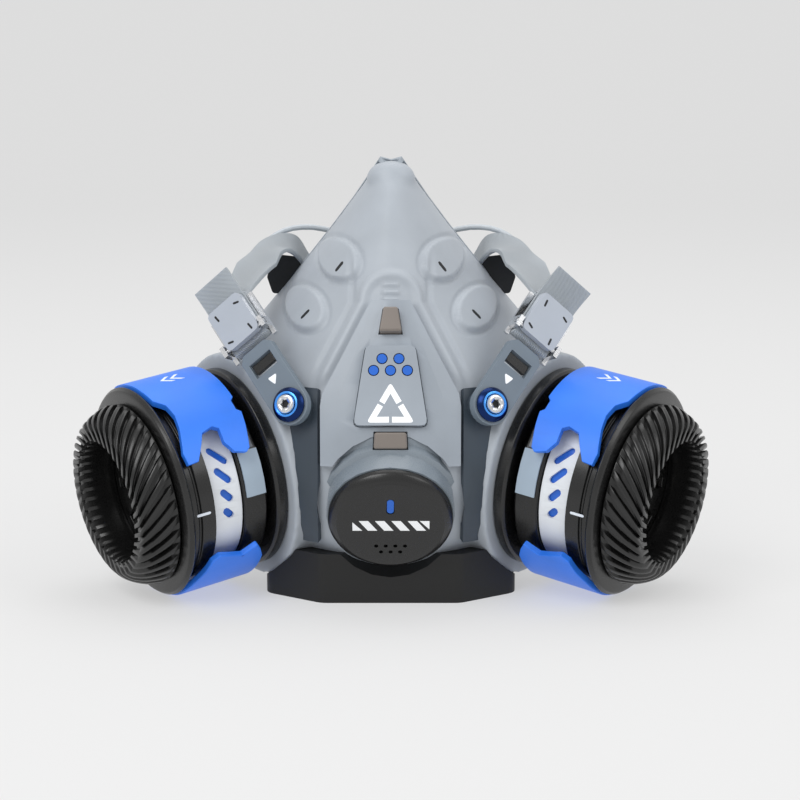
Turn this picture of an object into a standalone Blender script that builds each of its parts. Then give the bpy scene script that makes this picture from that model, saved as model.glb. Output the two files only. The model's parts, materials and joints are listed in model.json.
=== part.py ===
"""Half-mask respirator with two bayonet filters, built as separate pieces.

Metres, +Z up. The front faces -Y, +X is to the viewer's right, and the wearer's face is at +Y.
Every filter piece is turned about its port's axis, and the facepiece is one curved surface that
the front body, the yokes, the harness arms and the exhaust all sit on.
"""
import math

import bmesh
import bpy
from mathutils import Matrix, Vector

MM = 0.001

# Facepiece: overall sizes, then its sections from the nose to under the chin
FACE_HEIGHT = 143 * MM
FACE_HALF_WIDTH = 57 * MM
FACE_DEPTH = 90 * MM
FACE_LIFT = 3 * MM          # lowest point of the facepiece over the floor
FACE_WALL = 2.6 * MM
FACE_ROWS = 16
FACE_COLUMNS = 16
# ridge depth, ridge height, edge depth, edge height, half-width (shares), fullness of the section
FACE_SECTIONS = (
    (0.07, 0.986, 0.13, 1.000, 0.09, 1.70),
    (-0.03, 0.923, 0.18, 0.937, 0.19, 1.70),
    (-0.155, 0.818, 0.22, 0.832, 0.385, 1.70),
    (-0.29, 0.692, 0.32, 0.706, 0.63, 1.75),
    (-0.40, 0.552, 0.433, 0.573, 0.886, 2.20),
    (-0.478, 0.413, 0.50, 0.434, 1.00, 2.60),
    (-0.50, 0.287, 0.489, 0.294, 0.975, 2.80),
    (-0.467, 0.168, 0.422, 0.175, 0.86, 2.70),
    (-0.356, 0.063, 0.344, 0.084, 0.66, 2.40),
    (-0.133, 0.007, 0.278, 0.042, 0.42, 2.20),
    (0.133, 0.000, 0.233, 0.028, 0.19, 2.10),
)
SEAL_WIDTH = 9 * MM         # how far the soft lip turns into the face opening
SEAL_THICKNESS = 1.6 * MM
SEAL_GAP = 0.9 * MM         # the rim's curve is faceted, so the lip stands further off it

GAP = 0.3 * MM              # between pieces that touch
TURN_STEPS = 24

# Filter ports: centre of the port's front plane, and the way the filters point
PORT_INSET = 3.7 * MM         # the port's plane crosses its axis this far inside the widest point
PORT_OUT = FACE_HALF_WIDTH - PORT_INSET
PORT_DEPTH = -8 * MM
FILTER_SWING = math.radians(57.8)    # outwards from straight ahead
FILTER_DROOP = math.radians(8.5)
NECK_RADIUS = 39.5 * MM
NECK_WALL = 3.4 * MM
NECK_LENGTH = 36 * MM
NECK_FLOOR = 3.6 * MM
PORT_BORE = 13 * MM
PORT_WALL = 3 * MM
PORT_TAIL = 9 * MM          # port tube behind the neck's front face
PORT_FLANGE_RADIUS = 34.9 * MM
PORT_FLANGE = 4.5 * MM
VALVE_SEAT_BORE = 10 * MM
VALVE_OVERLAP = 2 * MM
VALVE_THICKNESS = 0.8 * MM

# Filter, measured outwards from the port's front plane
GASKET_THICKNESS = 1.2 * MM
BODY_RADIUS = 32.6 * MM
BODY_WALL = 2.2 * MM
BODY_LENGTH = 29.6 * MM
NECK_RING = 5.2 * MM        # length of the filter's spigot inside the port
BAND_RADIUS = 30.4 * MM
BAND_THICKNESS = 0.9 * MM
BAND_START = 15.4 * MM
BAND_WIDTH = 10.8 * MM
LINER_THICKNESS = 0.6 * MM
CAP_RADIUS = 36.5 * MM
CAP_THICKNESS = 2.4 * MM
CAP_BORE = 21.5 * MM
CLAMP_RADIUS = 37.3 * MM
CLAMP_THICKNESS = 2.4 * MM
CLAMP_START = 9.0 * MM
CLAMP_END = 35.6 * MM
RING_BASE_RADIUS = 31 * MM
RING_RIM_RADIUS = 24.6 * MM
RING_HOLE_RADIUS = 20.3 * MM
RING_LENGTH = 11.8 * MM
RING_TEETH = 30
RING_TOOTH_DEPTH = 1.5 * MM
RING_SWIRL = math.radians(22)
GRILLE_THICKNESS = 1.4 * MM
GRILLE_SLOTS = 8

# Exhaust
EXHAUST_FRONT = -50 * MM
EXHAUST_HEIGHT = 30 * MM
EXHAUST_TILT = math.radians(29.5)
COVER_RADIUS = 20.8 * MM
COVER_THICKNESS = 4.6 * MM
COVER_BEVEL = 2.2 * MM
OUTLET_RADIUS = 15.2 * MM
OUTLET_WALL = 2.2 * MM
HOUSING_LIP = 0.6 * MM        # the housing shows this much round the cover
HOUSING_RADIUS = COVER_RADIUS + HOUSING_LIP
HOUSING_STEP = 1.5 * MM
HOUSING_LENGTH = 22 * MM

# Front body, panel and latches
BODY_TOP = 101 * MM
BODY_FOOT = 49 * MM
BODY_TOP_HALF = 5.6 * MM
BODY_HALF = 22.5 * MM
BODY_SHOULDER = 70 * MM     # height where the front body reaches its full width
BODY_SKIN = 3.0 * MM
PANEL_HEIGHT = 27 * MM
PANEL_TOP_WIDTH = 16.4 * MM
PANEL_FOOT_WIDTH = 24.6 * MM
PANEL_THICKNESS = 3.0 * MM
PANEL_CENTRE = 74.5 * MM
DOT_RADIUS = 1.6 * MM
DOT_PITCH = 5.6 * MM
LATCH_TRAVEL = 1.2 * MM

# Harness
YOKE_TOP = 73 * MM
YOKE_FOOT = 22 * MM
YOKE_THICKNESS = 2.0 * MM
PIVOT_OUT = 29.5 * MM
PIVOT_HEIGHT = 66.4 * MM
ARM_WIDTH = 13.5 * MM
ARM_LENGTH = 24.5 * MM
ARM_THICKNESS = 3.0 * MM
ARM_LIFT = 3.2 * MM         # spacer step under the arm's eye
WASHER_RADIUS = 5.8 * MM
SCREW_RADIUS = 2.2 * MM
BUCKLE_WIDTH = 17.4 * MM
BUCKLE_LENGTH = 17.6 * MM
BUCKLE_PLATE_WIDTH = 14.2 * MM
BUCKLE_PLATE_LENGTH = 15.7 * MM
BUCKLE_PLATE_THICKNESS = 2.8 * MM
STRAP_WIDTH = 15 * MM
STRAP_THICKNESS = 1.4 * MM
STRAP_TAIL = 12 * MM        # free webbing past the buckle
ROUTE_STRAP = 15 * MM       # the strap and face that the strap's route was chosen on
ROUTE_HALF_WIDTH = 57 * MM
ROUTE_HEIGHT = 143 * MM
BOW_RADIUS = 1.1 * MM

CHIN_HEIGHT = 17 * MM
CHIN_HALF_WIDTH = 43 * MM
CHIN_FRONT = -37 * MM
CHIN_BACK = 26 * MM


def clear_scene():
    for obj in list(bpy.data.objects):
        bpy.data.objects.remove(obj, do_unlink=True)


clear_scene()
PARTS = bpy.data.collections.new("respirator")
CUTTERS = bpy.data.collections.new("respirator_cutters")
bpy.context.scene.collection.children.link(PARTS)
bpy.context.scene.collection.children.link(CUTTERS)


def material(name, colour, roughness, metallic=0.0):
    """A Principled material from a colour, a roughness and a metallic value."""
    made = bpy.data.materials.new(name)
    made.use_nodes = True
    shader = made.node_tree.nodes["Principled BSDF"]
    shader.inputs["Base Color"].default_value = (*colour, 1.0)
    shader.inputs["Roughness"].default_value = roughness
    shader.inputs["Metallic"].default_value = metallic
    made.diffuse_color = (*colour, 1.0)
    return made


SILICONE = material("grey_silicone", (0.36, 0.40, 0.44), 0.55)
SEAL_SILICONE = material("seal_silicone", (0.22, 0.24, 0.27), 0.6)
GREY_SHELL = material("grey_shell", (0.27, 0.31, 0.35), 0.42)
GLOSS_GREY = material("gloss_grey_shell", (0.30, 0.34, 0.38), 0.25)
HARNESS_GREY = material("harness_grey", (0.16, 0.20, 0.24), 0.4)
BLACK_NYLON = material("black_nylon", (0.012, 0.012, 0.011), 0.34)
BLUE_SHELL = material("blue_shell", (0.03, 0.22, 0.80), 0.4)
BLUE_INSERT = material("blue_insert", (0.02, 0.13, 0.55), 0.35)
LIGHT_BAND = material("light_band", (0.75, 0.77, 0.80), 0.35)
LABEL_GREY = material("label_grey", (0.33, 0.42, 0.50), 0.5)
TAUPE = material("taupe_button", (0.17, 0.15, 0.14), 0.4)
BUCKLE_GREY = material("buckle_grey", (0.42, 0.46, 0.52), 0.38)
STEEL = material("stainless_steel", (0.62, 0.62, 0.63), 0.25, 1.0)
ANODISED = material("anodised_blue", (0.01, 0.05, 0.22), 0.25, 1.0)
WEBBING = material("grey_webbing", (0.33, 0.36, 0.39), 0.85)
COATED_WIRE = material("coated_wire", (0.45, 0.48, 0.51), 0.35)
VALVE_SILICONE = material("valve_silicone", (0.55, 0.50, 0.42), 0.5)
GASKET_RUBBER = material("gasket_rubber", (0.02, 0.02, 0.02), 0.7)
FILTER_FLEECE = material("filter_fleece", (0.70, 0.70, 0.66), 0.9)


# ---------------------------------------------------------------- tools
def link(obj, collection, parent=None):
    for held in list(obj.users_collection):
        held.objects.unlink(obj)
    collection.objects.link(obj)
    if parent is not None:
        obj.parent = parent


def add_piece(name, mesh, finish, parent=None):
    obj = bpy.data.objects.new(name, mesh)
    mesh.materials.clear()
    mesh.materials.append(finish)
    link(obj, PARTS, parent)
    return obj


def axis_frame(name, origin, axis, upward, parent=None):
    """An empty at origin whose Z runs along axis and whose Y leans towards upward."""
    z = Vector(axis).normalized()
    y = Vector(upward)
    y = (y - z * y.dot(z)).normalized()
    x = y.cross(z)
    empty = bpy.data.objects.new(name, None)
    link(empty, PARTS, parent)
    turn = Matrix((x, y, z)).transposed().to_4x4()
    empty.matrix_basis = Matrix.Translation(Vector(origin)) @ turn
    return empty


def smooth(mesh, angle=35):
    mesh.shade_smooth()
    mesh.set_sharp_from_angle(angle=math.radians(angle))


def mesh_from(name, verts, faces):
    mesh = bpy.data.meshes.new(name)
    mesh.from_pydata(verts, [], faces)
    shape = bmesh.new()
    shape.from_mesh(mesh)
    bmesh.ops.recalc_face_normals(shape, faces=shape.faces)
    shape.to_mesh(mesh)
    shape.free()
    return mesh


def turned(name, profile, finish, parent, closed=True, steps=TURN_STEPS):
    """Turn a profile of (radius, height) about the parent's Z; it runs down its outer side."""
    count = len(profile)
    edges = [(i, i + 1) for i in range(count - 1)]
    if closed:
        edges.append((count - 1, 0))
    mesh = bpy.data.meshes.new(name)
    mesh.from_pydata([(r, 0, t) for r, t in profile], edges, [])
    obj = add_piece(name, mesh, finish, parent)
    screw = obj.modifiers.new("turn", "SCREW")
    screw.axis = "Z"
    screw.angle = math.tau
    screw.steps = steps
    screw.render_steps = steps
    screw.use_merge_vertices = True
    screw.merge_threshold = 0.00001
    screw.use_smooth_shade = True
    return obj


def ring(name, inner, outer, low, high, finish, parent, steps=TURN_STEPS):
    profile = [(inner, high), (outer, high), (outer, low), (inner, low)]
    return turned(name, profile, finish, parent, steps=steps)


def disc(name, radius, low, high, finish, parent, steps=TURN_STEPS):
    profile = [(0, high), (radius, high), (radius, low), (0, low)]
    return turned(name, profile, finish, parent, closed=False, steps=steps)


def box(name, size, centre, finish, parent, bevel=0.0):
    mesh = bpy.data.meshes.new(name)
    shape = bmesh.new()
    bmesh.ops.create_cube(shape, size=1.0)
    bmesh.ops.scale(shape, vec=size, verts=shape.verts)
    bmesh.ops.translate(shape, vec=centre, verts=shape.verts)
    shape.to_mesh(mesh)
    shape.free()
    obj = add_piece(name, mesh, finish, parent)
    if bevel:
        edge = obj.modifiers.new("edge", "BEVEL")
        edge.width = bevel
        edge.segments = 2
    return obj


def rounded(corners, radius, steps=3):
    """The outline through corners, listed anticlockwise, with each corner rounded."""
    outline = []
    for i, corner in enumerate(corners):
        here = Vector(corner)
        back = (Vector(corners[i - 1]) - here).normalized()
        ahead = (Vector(corners[(i + 1) % len(corners)]) - here).normalized()
        half = back.angle(ahead) / 2
        reach = radius / math.tan(half)
        start = here + back * reach
        end = here + ahead * reach
        for step in range(steps + 1):
            share = step / steps
            outline.append((1 - share) ** 2 * start + 2 * share * (1 - share) * here + share**2 * end)
    return [tuple(point) for point in outline]


def plate(name, outline, low, high, finish, parent):
    """A flat outline in the parent's XY plane, from low to high along its Z."""
    curve = bpy.data.curves.new(name, "CURVE")
    curve.dimensions = "2D"
    curve.fill_mode = "BOTH"
    curve.extrude = (high - low) / 2
    line = curve.splines.new("POLY")
    line.points.add(len(outline) - 1)
    for point, (x, y) in zip(line.points, outline):
        point.co = (x, y, 0, 1)
    line.use_cyclic_u = True
    drawn = bpy.data.objects.new(name + "_outline", curve)
    bpy.context.scene.collection.objects.link(drawn)
    mesh = mesh_of(drawn)
    mesh.transform(Matrix.Translation((0, 0, (low + high) / 2)))
    return add_piece(name, mesh, finish, parent)


def mesh_of(drawn):
    """A curve object's welded mesh; the curve object is removed."""
    bpy.context.view_layer.update()
    evaluated = drawn.evaluated_get(bpy.context.evaluated_depsgraph_get())
    mesh = bpy.data.meshes.new_from_object(evaluated)
    shape = bmesh.new()
    shape.from_mesh(mesh)
    bmesh.ops.remove_doubles(shape, verts=shape.verts, dist=0.000001)
    bmesh.ops.recalc_face_normals(shape, faces=shape.faces)
    shape.to_mesh(mesh)
    shape.free()
    bpy.data.objects.remove(drawn, do_unlink=True)
    return mesh


def tube(name, points, radius, finish, parent=None):
    curve = bpy.data.curves.new(name, "CURVE")
    curve.dimensions = "3D"
    curve.bevel_depth = radius
    curve.bevel_resolution = 2
    curve.use_fill_caps = True
    line = curve.splines.new("POLY")
    line.points.add(len(points) - 1)
    for point, place in zip(line.points, points):
        point.co = (*place, 1)
    obj = bpy.data.objects.new(name, curve)
    curve.materials.append(finish)
    link(obj, PARTS, parent)
    return obj


def combine(target, tool, operation="DIFFERENCE"):
    """Cut tool from target, or join it on; the tool becomes a hidden cutter."""
    keep = tool.parent
    link(tool, CUTTERS, keep)
    tool.hide_render = True
    tool.display_type = "WIRE"
    step = target.modifiers.new(operation.lower(), "BOOLEAN")
    step.operation = operation
    step.solver = "EXACT"
    step.object = tool


def wrapped(name, outline, inner, thickness, finish, parent, slice_angle=10):
    """A plate wrapped round the parent's Z: outline in (degrees from Y, height), from radius inner.

    Angles grow towards the parent's -X.
    """
    shape = bmesh.new()
    corners = [shape.verts.new((angle, height, 0)) for angle, height in outline]
    shape.faces.new(corners)
    low = min(angle for angle, height in outline)
    high = max(angle for angle, height in outline)
    cuts = int((high - low) / slice_angle)
    for i in range(1, cuts + 1):
        where = low + (high - low) * i / (cuts + 1)
        bmesh.ops.bisect_plane(
            shape, geom=shape.verts[:] + shape.edges[:] + shape.faces[:],
            plane_co=(where, 0, 0), plane_no=(1, 0, 0))
    bmesh.ops.triangulate(shape, faces=shape.faces[:])
    for vert in shape.verts:
        turn = math.radians(vert.co.x)
        vert.co = Vector((-inner * math.sin(turn), inner * math.cos(turn), vert.co.y))
    for face in shape.faces:
        face.normal_update()
        centre = face.calc_center_median()
        if face.normal.dot(Vector((centre.x, centre.y, 0))) < 0:
            face.normal_flip()
    mesh = bpy.data.meshes.new(name)
    shape.to_mesh(mesh)
    shape.free()
    obj = add_piece(name, mesh, finish, parent)
    wall = obj.modifiers.new("wall", "SOLIDIFY")
    wall.thickness = thickness
    wall.offset = 1.0
    return obj


# ---------------------------------------------------------------- facepiece surface
def section(row):
    """The facepiece's section at row 0 (nose) to 1 (chin), read smoothly between the table's."""
    place = min(max(row, 0.0), 1.0) * (len(FACE_SECTIONS) - 1)
    low = min(int(place), len(FACE_SECTIONS) - 2)
    share = place - low
    rows = [FACE_SECTIONS[min(max(low + i, 0), len(FACE_SECTIONS) - 1)] for i in (-1, 0, 1, 2)]
    values = []
    for before, start, end, after in zip(*rows):
        slope_in = (end - before) / 2
        slope_out = (after - start) / 2
        values.append(
            (2 * share**3 - 3 * share**2 + 1) * start + (share**3 - 2 * share**2 + share) * slope_in
            + (3 * share**2 - 2 * share**3) * end + (share**3 - share**2) * slope_out)
    ridge_y, ridge_z, edge_y, edge_z, half, fullness = values
    ridge = Vector((0, ridge_y * FACE_DEPTH, FACE_LIFT + ridge_z * FACE_HEIGHT))
    edge = Vector((0, edge_y * FACE_DEPTH, FACE_LIFT + edge_z * FACE_HEIGHT))
    return ridge, edge, half * FACE_HALF_WIDTH, fullness


def face_turn(row, turn):
    """A point of the facepiece's outer surface: turn -90 to 90 degrees runs from edge to edge."""
    ridge, edge, half, fullness = section(row)
    power = 2 / fullness
    across = math.copysign(abs(math.sin(turn)) ** power, turn) * half
    point = edge + (ridge - edge) * max(math.cos(turn), 0.0) ** power
    return Vector((across, point.y, point.z))


def face_point(row, across):
    """The point of the outer surface at a distance across from the middle."""
    ridge, edge, half, fullness = section(row)
    share = min(abs(across) / half, 1.0)
    point = edge + (ridge - edge) * (1 - share**fullness) ** (1 / fullness)
    return Vector((across, point.y, point.z))


def face_normal(row, across):
    step = 0.5 * MM
    sideways = face_point(row, across + step) - face_point(row, across - step)
    down = face_point(row + 0.005, across) - face_point(row - 0.005, across)
    return down.cross(sideways).normalized()


def row_at(height, across=0.0):
    """The row where the surface reaches a height at a distance across."""
    low, high = 0.05, 0.93
    for _ in range(40):
        middle = (low + high) / 2
        if face_point(middle, across).z > height:
            low = middle
        else:
            high = middle
    return (low + high) / 2


def face_grid(offset=0.0):
    """Rows of surface points from the nose down, each from the left edge to the right."""
    grid = []
    for i in range(FACE_ROWS + 1):
        row = i / FACE_ROWS
        grid.append([face_turn(row, math.radians(-90 + 180 * j / FACE_COLUMNS))
                     for j in range(FACE_COLUMNS + 1)])
    if offset:
        grid = [[point + normal * offset for point, normal in zip(points, normals)]
                for points, normals in zip(grid, grid_normals(grid))]
    return grid


def grid_normals(grid):
    normals = []
    last_row = len(grid) - 1
    last_column = len(grid[0]) - 1
    for i, points in enumerate(grid):
        above = grid[max(i - 1, 0)]
        below = grid[min(i + 1, last_row)]
        line = []
        for j in range(len(points)):
            down = below[j] - above[j]
            across = points[min(j + 1, last_column)] - points[max(j - 1, 0)]
            line.append(down.cross(across).normalized())
        normals.append(line)
    return normals


def grid_faces(rows, columns):
    width = columns + 1
    faces = []
    for i in range(rows):
        for j in range(columns):
            start = i * width + j
            faces.append((start, start + width, start + width + 1, start + 1))
    return faces


def face_block(name, offset, back):
    """A closed block inside the surface moved out by offset, reaching back to the plane Y = back."""
    grid = face_grid(offset)
    verts = [point for line in grid for point in line]
    faces = grid_faces(FACE_ROWS, FACE_COLUMNS)
    width = FACE_COLUMNS + 1
    rim = list(range(width))
    rim += [i * width + FACE_COLUMNS for i in range(1, FACE_ROWS + 1)]
    rim += [FACE_ROWS * width + j for j in range(FACE_COLUMNS - 1, -1, -1)]
    rim += [i * width for i in range(FACE_ROWS - 1, 0, -1)]
    first = len(verts)
    verts += [Vector((verts[i].x, back, verts[i].z)) for i in rim]
    count = len(rim)
    for i in range(count):
        after = (i + 1) % count
        faces.append((rim[i], rim[after], first + after, first + i))
    faces.append(tuple(range(first, first + count)))
    mesh = mesh_from(name, verts, faces)
    obj = add_piece(name, mesh, SILICONE)
    return obj


def patch(name, top, foot, inner, outer, offset, thickness, finish, rows=12, columns=6):
    """A skin laid on the facepiece between two heights; inner and outer give its sides at a height."""
    verts = []
    for i in range(rows + 1):
        height = top + (foot - top) * i / rows
        left = inner(height)
        right = outer(height)
        for j in range(columns + 1):
            across = left + (right - left) * j / columns
            row = row_at(height, across)
            verts.append(face_point(row, across) + face_normal(row, across) * offset)
    mesh = bpy.data.meshes.new(name)
    mesh.from_pydata(verts, [], grid_faces(rows, columns))
    smooth(mesh)
    obj = add_piece(name, mesh, finish)
    wall = obj.modifiers.new("wall", "SOLIDIFY")
    wall.thickness = thickness
    wall.offset = 1.0
    return obj


# ---------------------------------------------------------------- frames
def port_frame(side):
    swing = Vector((side * math.sin(FILTER_SWING), -math.cos(FILTER_SWING), 0))
    axis = swing * math.cos(FILTER_DROOP) - Vector((0, 0, math.sin(FILTER_DROOP)))
    height = CLAMP_RADIUS * math.cos(FILTER_DROOP) + CLAMP_END * math.sin(FILTER_DROOP)
    origin = (side * PORT_OUT, PORT_DEPTH, height)
    return axis_frame(SIDE_NAMES[side] + "_filter_axis", origin, axis, (0, 0, 1))


def arm_frame(side):
    """On the yoke at the pivot: Z out of the arm, Y along it."""
    row = row_at(PIVOT_HEIGHT, PIVOT_OUT)
    normal = face_normal(row, side * PIVOT_OUT)
    lift = GAP + YOKE_THICKNESS + ARM_LIFT
    origin = face_point(row, side * PIVOT_OUT) + normal * lift
    along = Vector((side * 0.52, 0.485, 0.703)).normalized()
    out = normal - along * normal.dot(along)
    return axis_frame(SIDE_NAMES[side] + "_arm_axis", origin, out, along)


SIDE_NAMES = {-1: "left", 1: "right"}
PORTS = {side: port_frame(side) for side in (-1, 1)}
ARMS = {side: arm_frame(side) for side in (-1, 1)}
EXHAUST = axis_frame(
    "exhaust_axis", (0, EXHAUST_FRONT, EXHAUST_HEIGHT),
    (0, -math.cos(EXHAUST_TILT), -math.sin(EXHAUST_TILT)), (0, 0, 1))
OUTLET_OUTER = OUTLET_RADIUS + OUTLET_WALL
HOUSING_OUTER = HOUSING_RADIUS + 2 * HOUSING_STEP


def on_front(name, height):
    """An empty on the front body's centre line: Z out of the surface, Y up along it."""
    row = row_at(height)
    return axis_frame(name, face_point(row, 0), face_normal(row, 0), (0, 0, 1))


# ---------------------------------------------------------------- facepiece
def make_facepiece():
    grid = face_grid()
    mesh = bpy.data.meshes.new("facepiece")
    mesh.from_pydata([point for line in grid for point in line], [],
                     grid_faces(FACE_ROWS, FACE_COLUMNS))
    smooth(mesh)
    shell = add_piece("facepiece", mesh, SILICONE)
    wall = shell.modifiers.new("wall", "SOLIDIFY")
    wall.thickness = FACE_WALL
    wall.offset = -1.0
    inside = face_block("facepiece_inside", -FACE_WALL - 0.1 * MM, 80 * MM)
    behind = rim_band("behind_rim", 9 * MM, SEAL_WIDTH, GAP, 14 * MM, 0, SILICONE)
    for side, port in PORTS.items():
        name = SIDE_NAMES[side]
        neck = disc(name + "_neck", NECK_RADIUS, -NECK_LENGTH, -GAP, SILICONE, port)
        combine(neck, inside)
        combine(neck, behind)
        combine(shell, neck, "UNION")
        socket = bow_socket(side)
        combine(socket, inside)
        combine(shell, socket, "UNION")
    for side, port in PORTS.items():
        name = SIDE_NAMES[side]
        pocket = disc(name + "_neck_pocket", NECK_RADIUS - NECK_WALL, -NECK_LENGTH,
                      -GAP - NECK_FLOOR, SILICONE, port)
        combine(shell, pocket)
        hole = disc(name + "_port_hole", PORT_BORE + PORT_WALL + GAP, -NECK_LENGTH, GAP,
                    SILICONE, port)
        combine(shell, hole)
        face = disc(name + "_flange_clearance", PORT_FLANGE_RADIUS + GAP, -GAP + 0.1 * MM, 20 * MM,
                    SILICONE, port)
        combine(shell, face)
        bow_hole = disc(name + "_bow_hole", BOW_RADIUS + GAP, -BOW_SEAT, BOW_SOCKET, SILICONE,
                        BOW_FEET[side])
        combine(shell, bow_hole)
    outlet = disc("outlet_hole", OUTLET_OUTER + GAP, -45 * MM, 0, SILICONE, EXHAUST)
    combine(shell, outlet)


BOW_SOCKET = 6 * MM         # socket's height over the bow's foot
BOW_SEAT = 0.3 * MM
BOW_FOOT = Vector((55 * MM, 20 * MM, 77 * MM))
BOW_FEET = {side: axis_frame(SIDE_NAMES[side] + "_bow_foot",
                             (side * BOW_FOOT.x, BOW_FOOT.y, BOW_FOOT.z), (0, 0, 1), (0, 1, 0))
            for side in (-1, 1)}


def bow_socket(side):
    return disc(SIDE_NAMES[side] + "_bow_socket", BOW_RADIUS + 2 * MM, -9 * MM,
                BOW_SOCKET - 1 * MM, SILICONE, BOW_FEET[side], steps=16)


def make_bow():
    """A coated wire bow behind the nose, its feet in the sockets on both necks."""
    half = [
        (BOW_FOOT.x, BOW_FOOT.y, BOW_FOOT.z),
        (BOW_FOOT.x, BOW_FOOT.y, BOW_FOOT.z + 9 * MM),
        (55.5 * MM, 23 * MM, 96 * MM),
        (53 * MM, 31 * MM, 106 * MM),
        (47.5 * MM, 37 * MM, 113.5 * MM),
        (39.5 * MM, 42.5 * MM, 119 * MM),
        (29 * MM, 46 * MM, 120 * MM),
        (15 * MM, 48 * MM, 117 * MM),
    ]
    route = [Vector((-x, y, z)) for x, y, z in half] + [Vector((0, 49 * MM, 116 * MM))]
    route += [Vector(point) for point in reversed(half)]
    tube("head_bow", spaced_curve(route, 3), BOW_RADIUS, COATED_WIRE)


def spaced_curve(route, steps):
    """Points of a smooth curve through the route's points."""
    points = []
    last = len(route) - 1
    for i in range(last):
        before, start, end, after = (route[min(max(i + k, 0), last)] for k in (-1, 0, 1, 2))
        for step in range(steps):
            share = step / steps
            points.append(0.5 * (
                2 * start + (end - before) * share
                + (2 * before - 5 * start + 4 * end - after) * share**2
                + (3 * start - before - 3 * end + after) * share**3))
    points.append(route[-1])
    return points


def rim_band(name, outside, inside, gap, thickness, rise, finish):
    """A band round the facepiece's rim, from outside its middle line to inside it."""
    grid = face_grid(-FACE_WALL / 2)
    normals = grid_normals(grid)
    rows, columns = FACE_ROWS, FACE_COLUMNS
    rim = [(0, j) for j in range(columns + 1)]
    rim += [(i, columns) for i in range(1, rows + 1)]
    rim += [(rows, j) for j in range(columns - 1, -1, -1)]
    rim += [(i, 0) for i in range(rows - 1, 0, -1)]
    verts = []
    for i, j in rim:
        here = grid[i][j]
        behind = grid[min(max(i, 1), rows - 1)][min(max(j, 1), columns - 1)]
        outward = (here - behind).normalized()
        reach = inside * (0.4 + 0.6 * min(abs(here.x) / (0.5 * FACE_HALF_WIDTH), 1))
        base = here + outward * gap
        for inwards, deep in ((-outside, 0), (reach, rise), (reach, rise + thickness),
                              (-outside, thickness)):
            verts.append(base - normals[i][j] * inwards + outward * deep)
    count = len(rim)
    faces = []
    for i in range(count):
        here = 4 * i
        after = 4 * ((i + 1) % count)
        for corner in range(4):
            following = (corner + 1) % 4
            faces.append((here + corner, after + corner, after + following, here + following))
    return add_piece(name, mesh_from(name, verts, faces), finish)


def make_face_seal():
    """A soft lip that turns in from the facepiece's rim all the way round."""
    rim_band("face_seal", 0.4 * FACE_WALL, SEAL_WIDTH, SEAL_GAP, SEAL_THICKNESS,
             0.5 * SEAL_THICKNESS, SEAL_SILICONE)


# ---------------------------------------------------------------- front
def body_half(height):
    share = (BODY_TOP - height) / (BODY_TOP - BODY_SHOULDER)
    return BODY_TOP_HALF + (BODY_HALF - BODY_TOP_HALF) * min(share, 1)


def trapezoid(top_width, foot_width, height, grow=0.0):
    top = top_width / 2 + grow
    foot = foot_width / 2 + grow
    rise = height / 2 + grow
    return [(-foot, -rise), (foot, -rise), (top, rise), (-top, rise)]


def make_front(housing):
    body = patch("front_body", BODY_TOP, BODY_FOOT, lambda h: -body_half(h), body_half,
                 GAP, BODY_SKIN, GREY_SHELL, rows=14, columns=8)
    clear = disc("front_body_clearance", HOUSING_OUTER + GAP, -50 * MM, 20 * MM,
                 GREY_SHELL, EXHAUST)
    combine(body, clear)
    spot = on_front("panel_frame", PANEL_CENTRE)
    floor = GAP + 0.8 * MM
    outline = rounded(trapezoid(PANEL_TOP_WIDTH, PANEL_FOOT_WIDTH, PANEL_HEIGHT), 2 * MM)
    seat = rounded(trapezoid(PANEL_TOP_WIDTH, PANEL_FOOT_WIDTH, PANEL_HEIGHT, GAP), 2 * MM)
    combine(body, plate("panel_seat", seat, floor, 12 * MM, GREY_SHELL, spot))
    low = floor + GAP
    panel = plate("front_panel", outline, low, low + PANEL_THICKNESS, GREY_SHELL, spot)
    make_insert(panel, spot, low)
    make_latch("top_latch", (body,), 94.5 * MM, (4.8 * MM, 7.6 * MM), 8.6 * MM)
    make_latch("bottom_latch", (body, housing), 57.6 * MM, (10.6 * MM, 11.2 * MM), 5.4 * MM)


def make_insert(panel, spot, low):
    """Five blue dots on one thin carrier, which lies in the back of the panel."""
    dots = [(x * DOT_PITCH, 9 * MM) for x in (-0.5, 0.5)]
    dots += [(x * DOT_PITCH, 5 * MM) for x in (-1, 0, 1)]
    back = low + 0.2 * MM
    carrier_top = back + 0.7 * MM
    centre = (0, 7 * MM, (back + carrier_top) / 2)
    width = 2 * DOT_PITCH + 2 * DOT_RADIUS + 0.6 * MM
    height = 4 * MM + 2 * DOT_RADIUS + 0.6 * MM
    insert = box("indicator_insert", (width, height, carrier_top - back), centre,
                 BLUE_INSERT, spot)
    pocket = box("insert_pocket",
                 (width + 2 * GAP, height + 2 * GAP, carrier_top - back + 2 * GAP + 1 * MM),
                 (0, 7 * MM, centre[2] - 0.5 * MM), BLUE_INSERT, spot)
    combine(panel, pocket)
    combine(panel, disc("panel_housing_clearance", HOUSING_OUTER + GAP, -60 * MM, 2 * MM,
                        GREY_SHELL, EXHAUST))
    for i, (x, y) in enumerate(dots):
        place = bpy.data.objects.new("dot_place", None)
        link(place, PARTS, spot)
        place.location = (x, y, 0)
        top = low + PANEL_THICKNESS + 0.1 * MM
        stud = disc("dot_%d" % i, DOT_RADIUS, back + 0.2 * MM, top, BLUE_INSERT, place, steps=16)
        combine(insert, stud, "UNION")
        hole = disc("dot_hole_%d" % i, DOT_RADIUS + GAP, 0, 12 * MM, BLUE_INSERT, place,
                    steps=16)
        combine(panel, hole)


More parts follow.
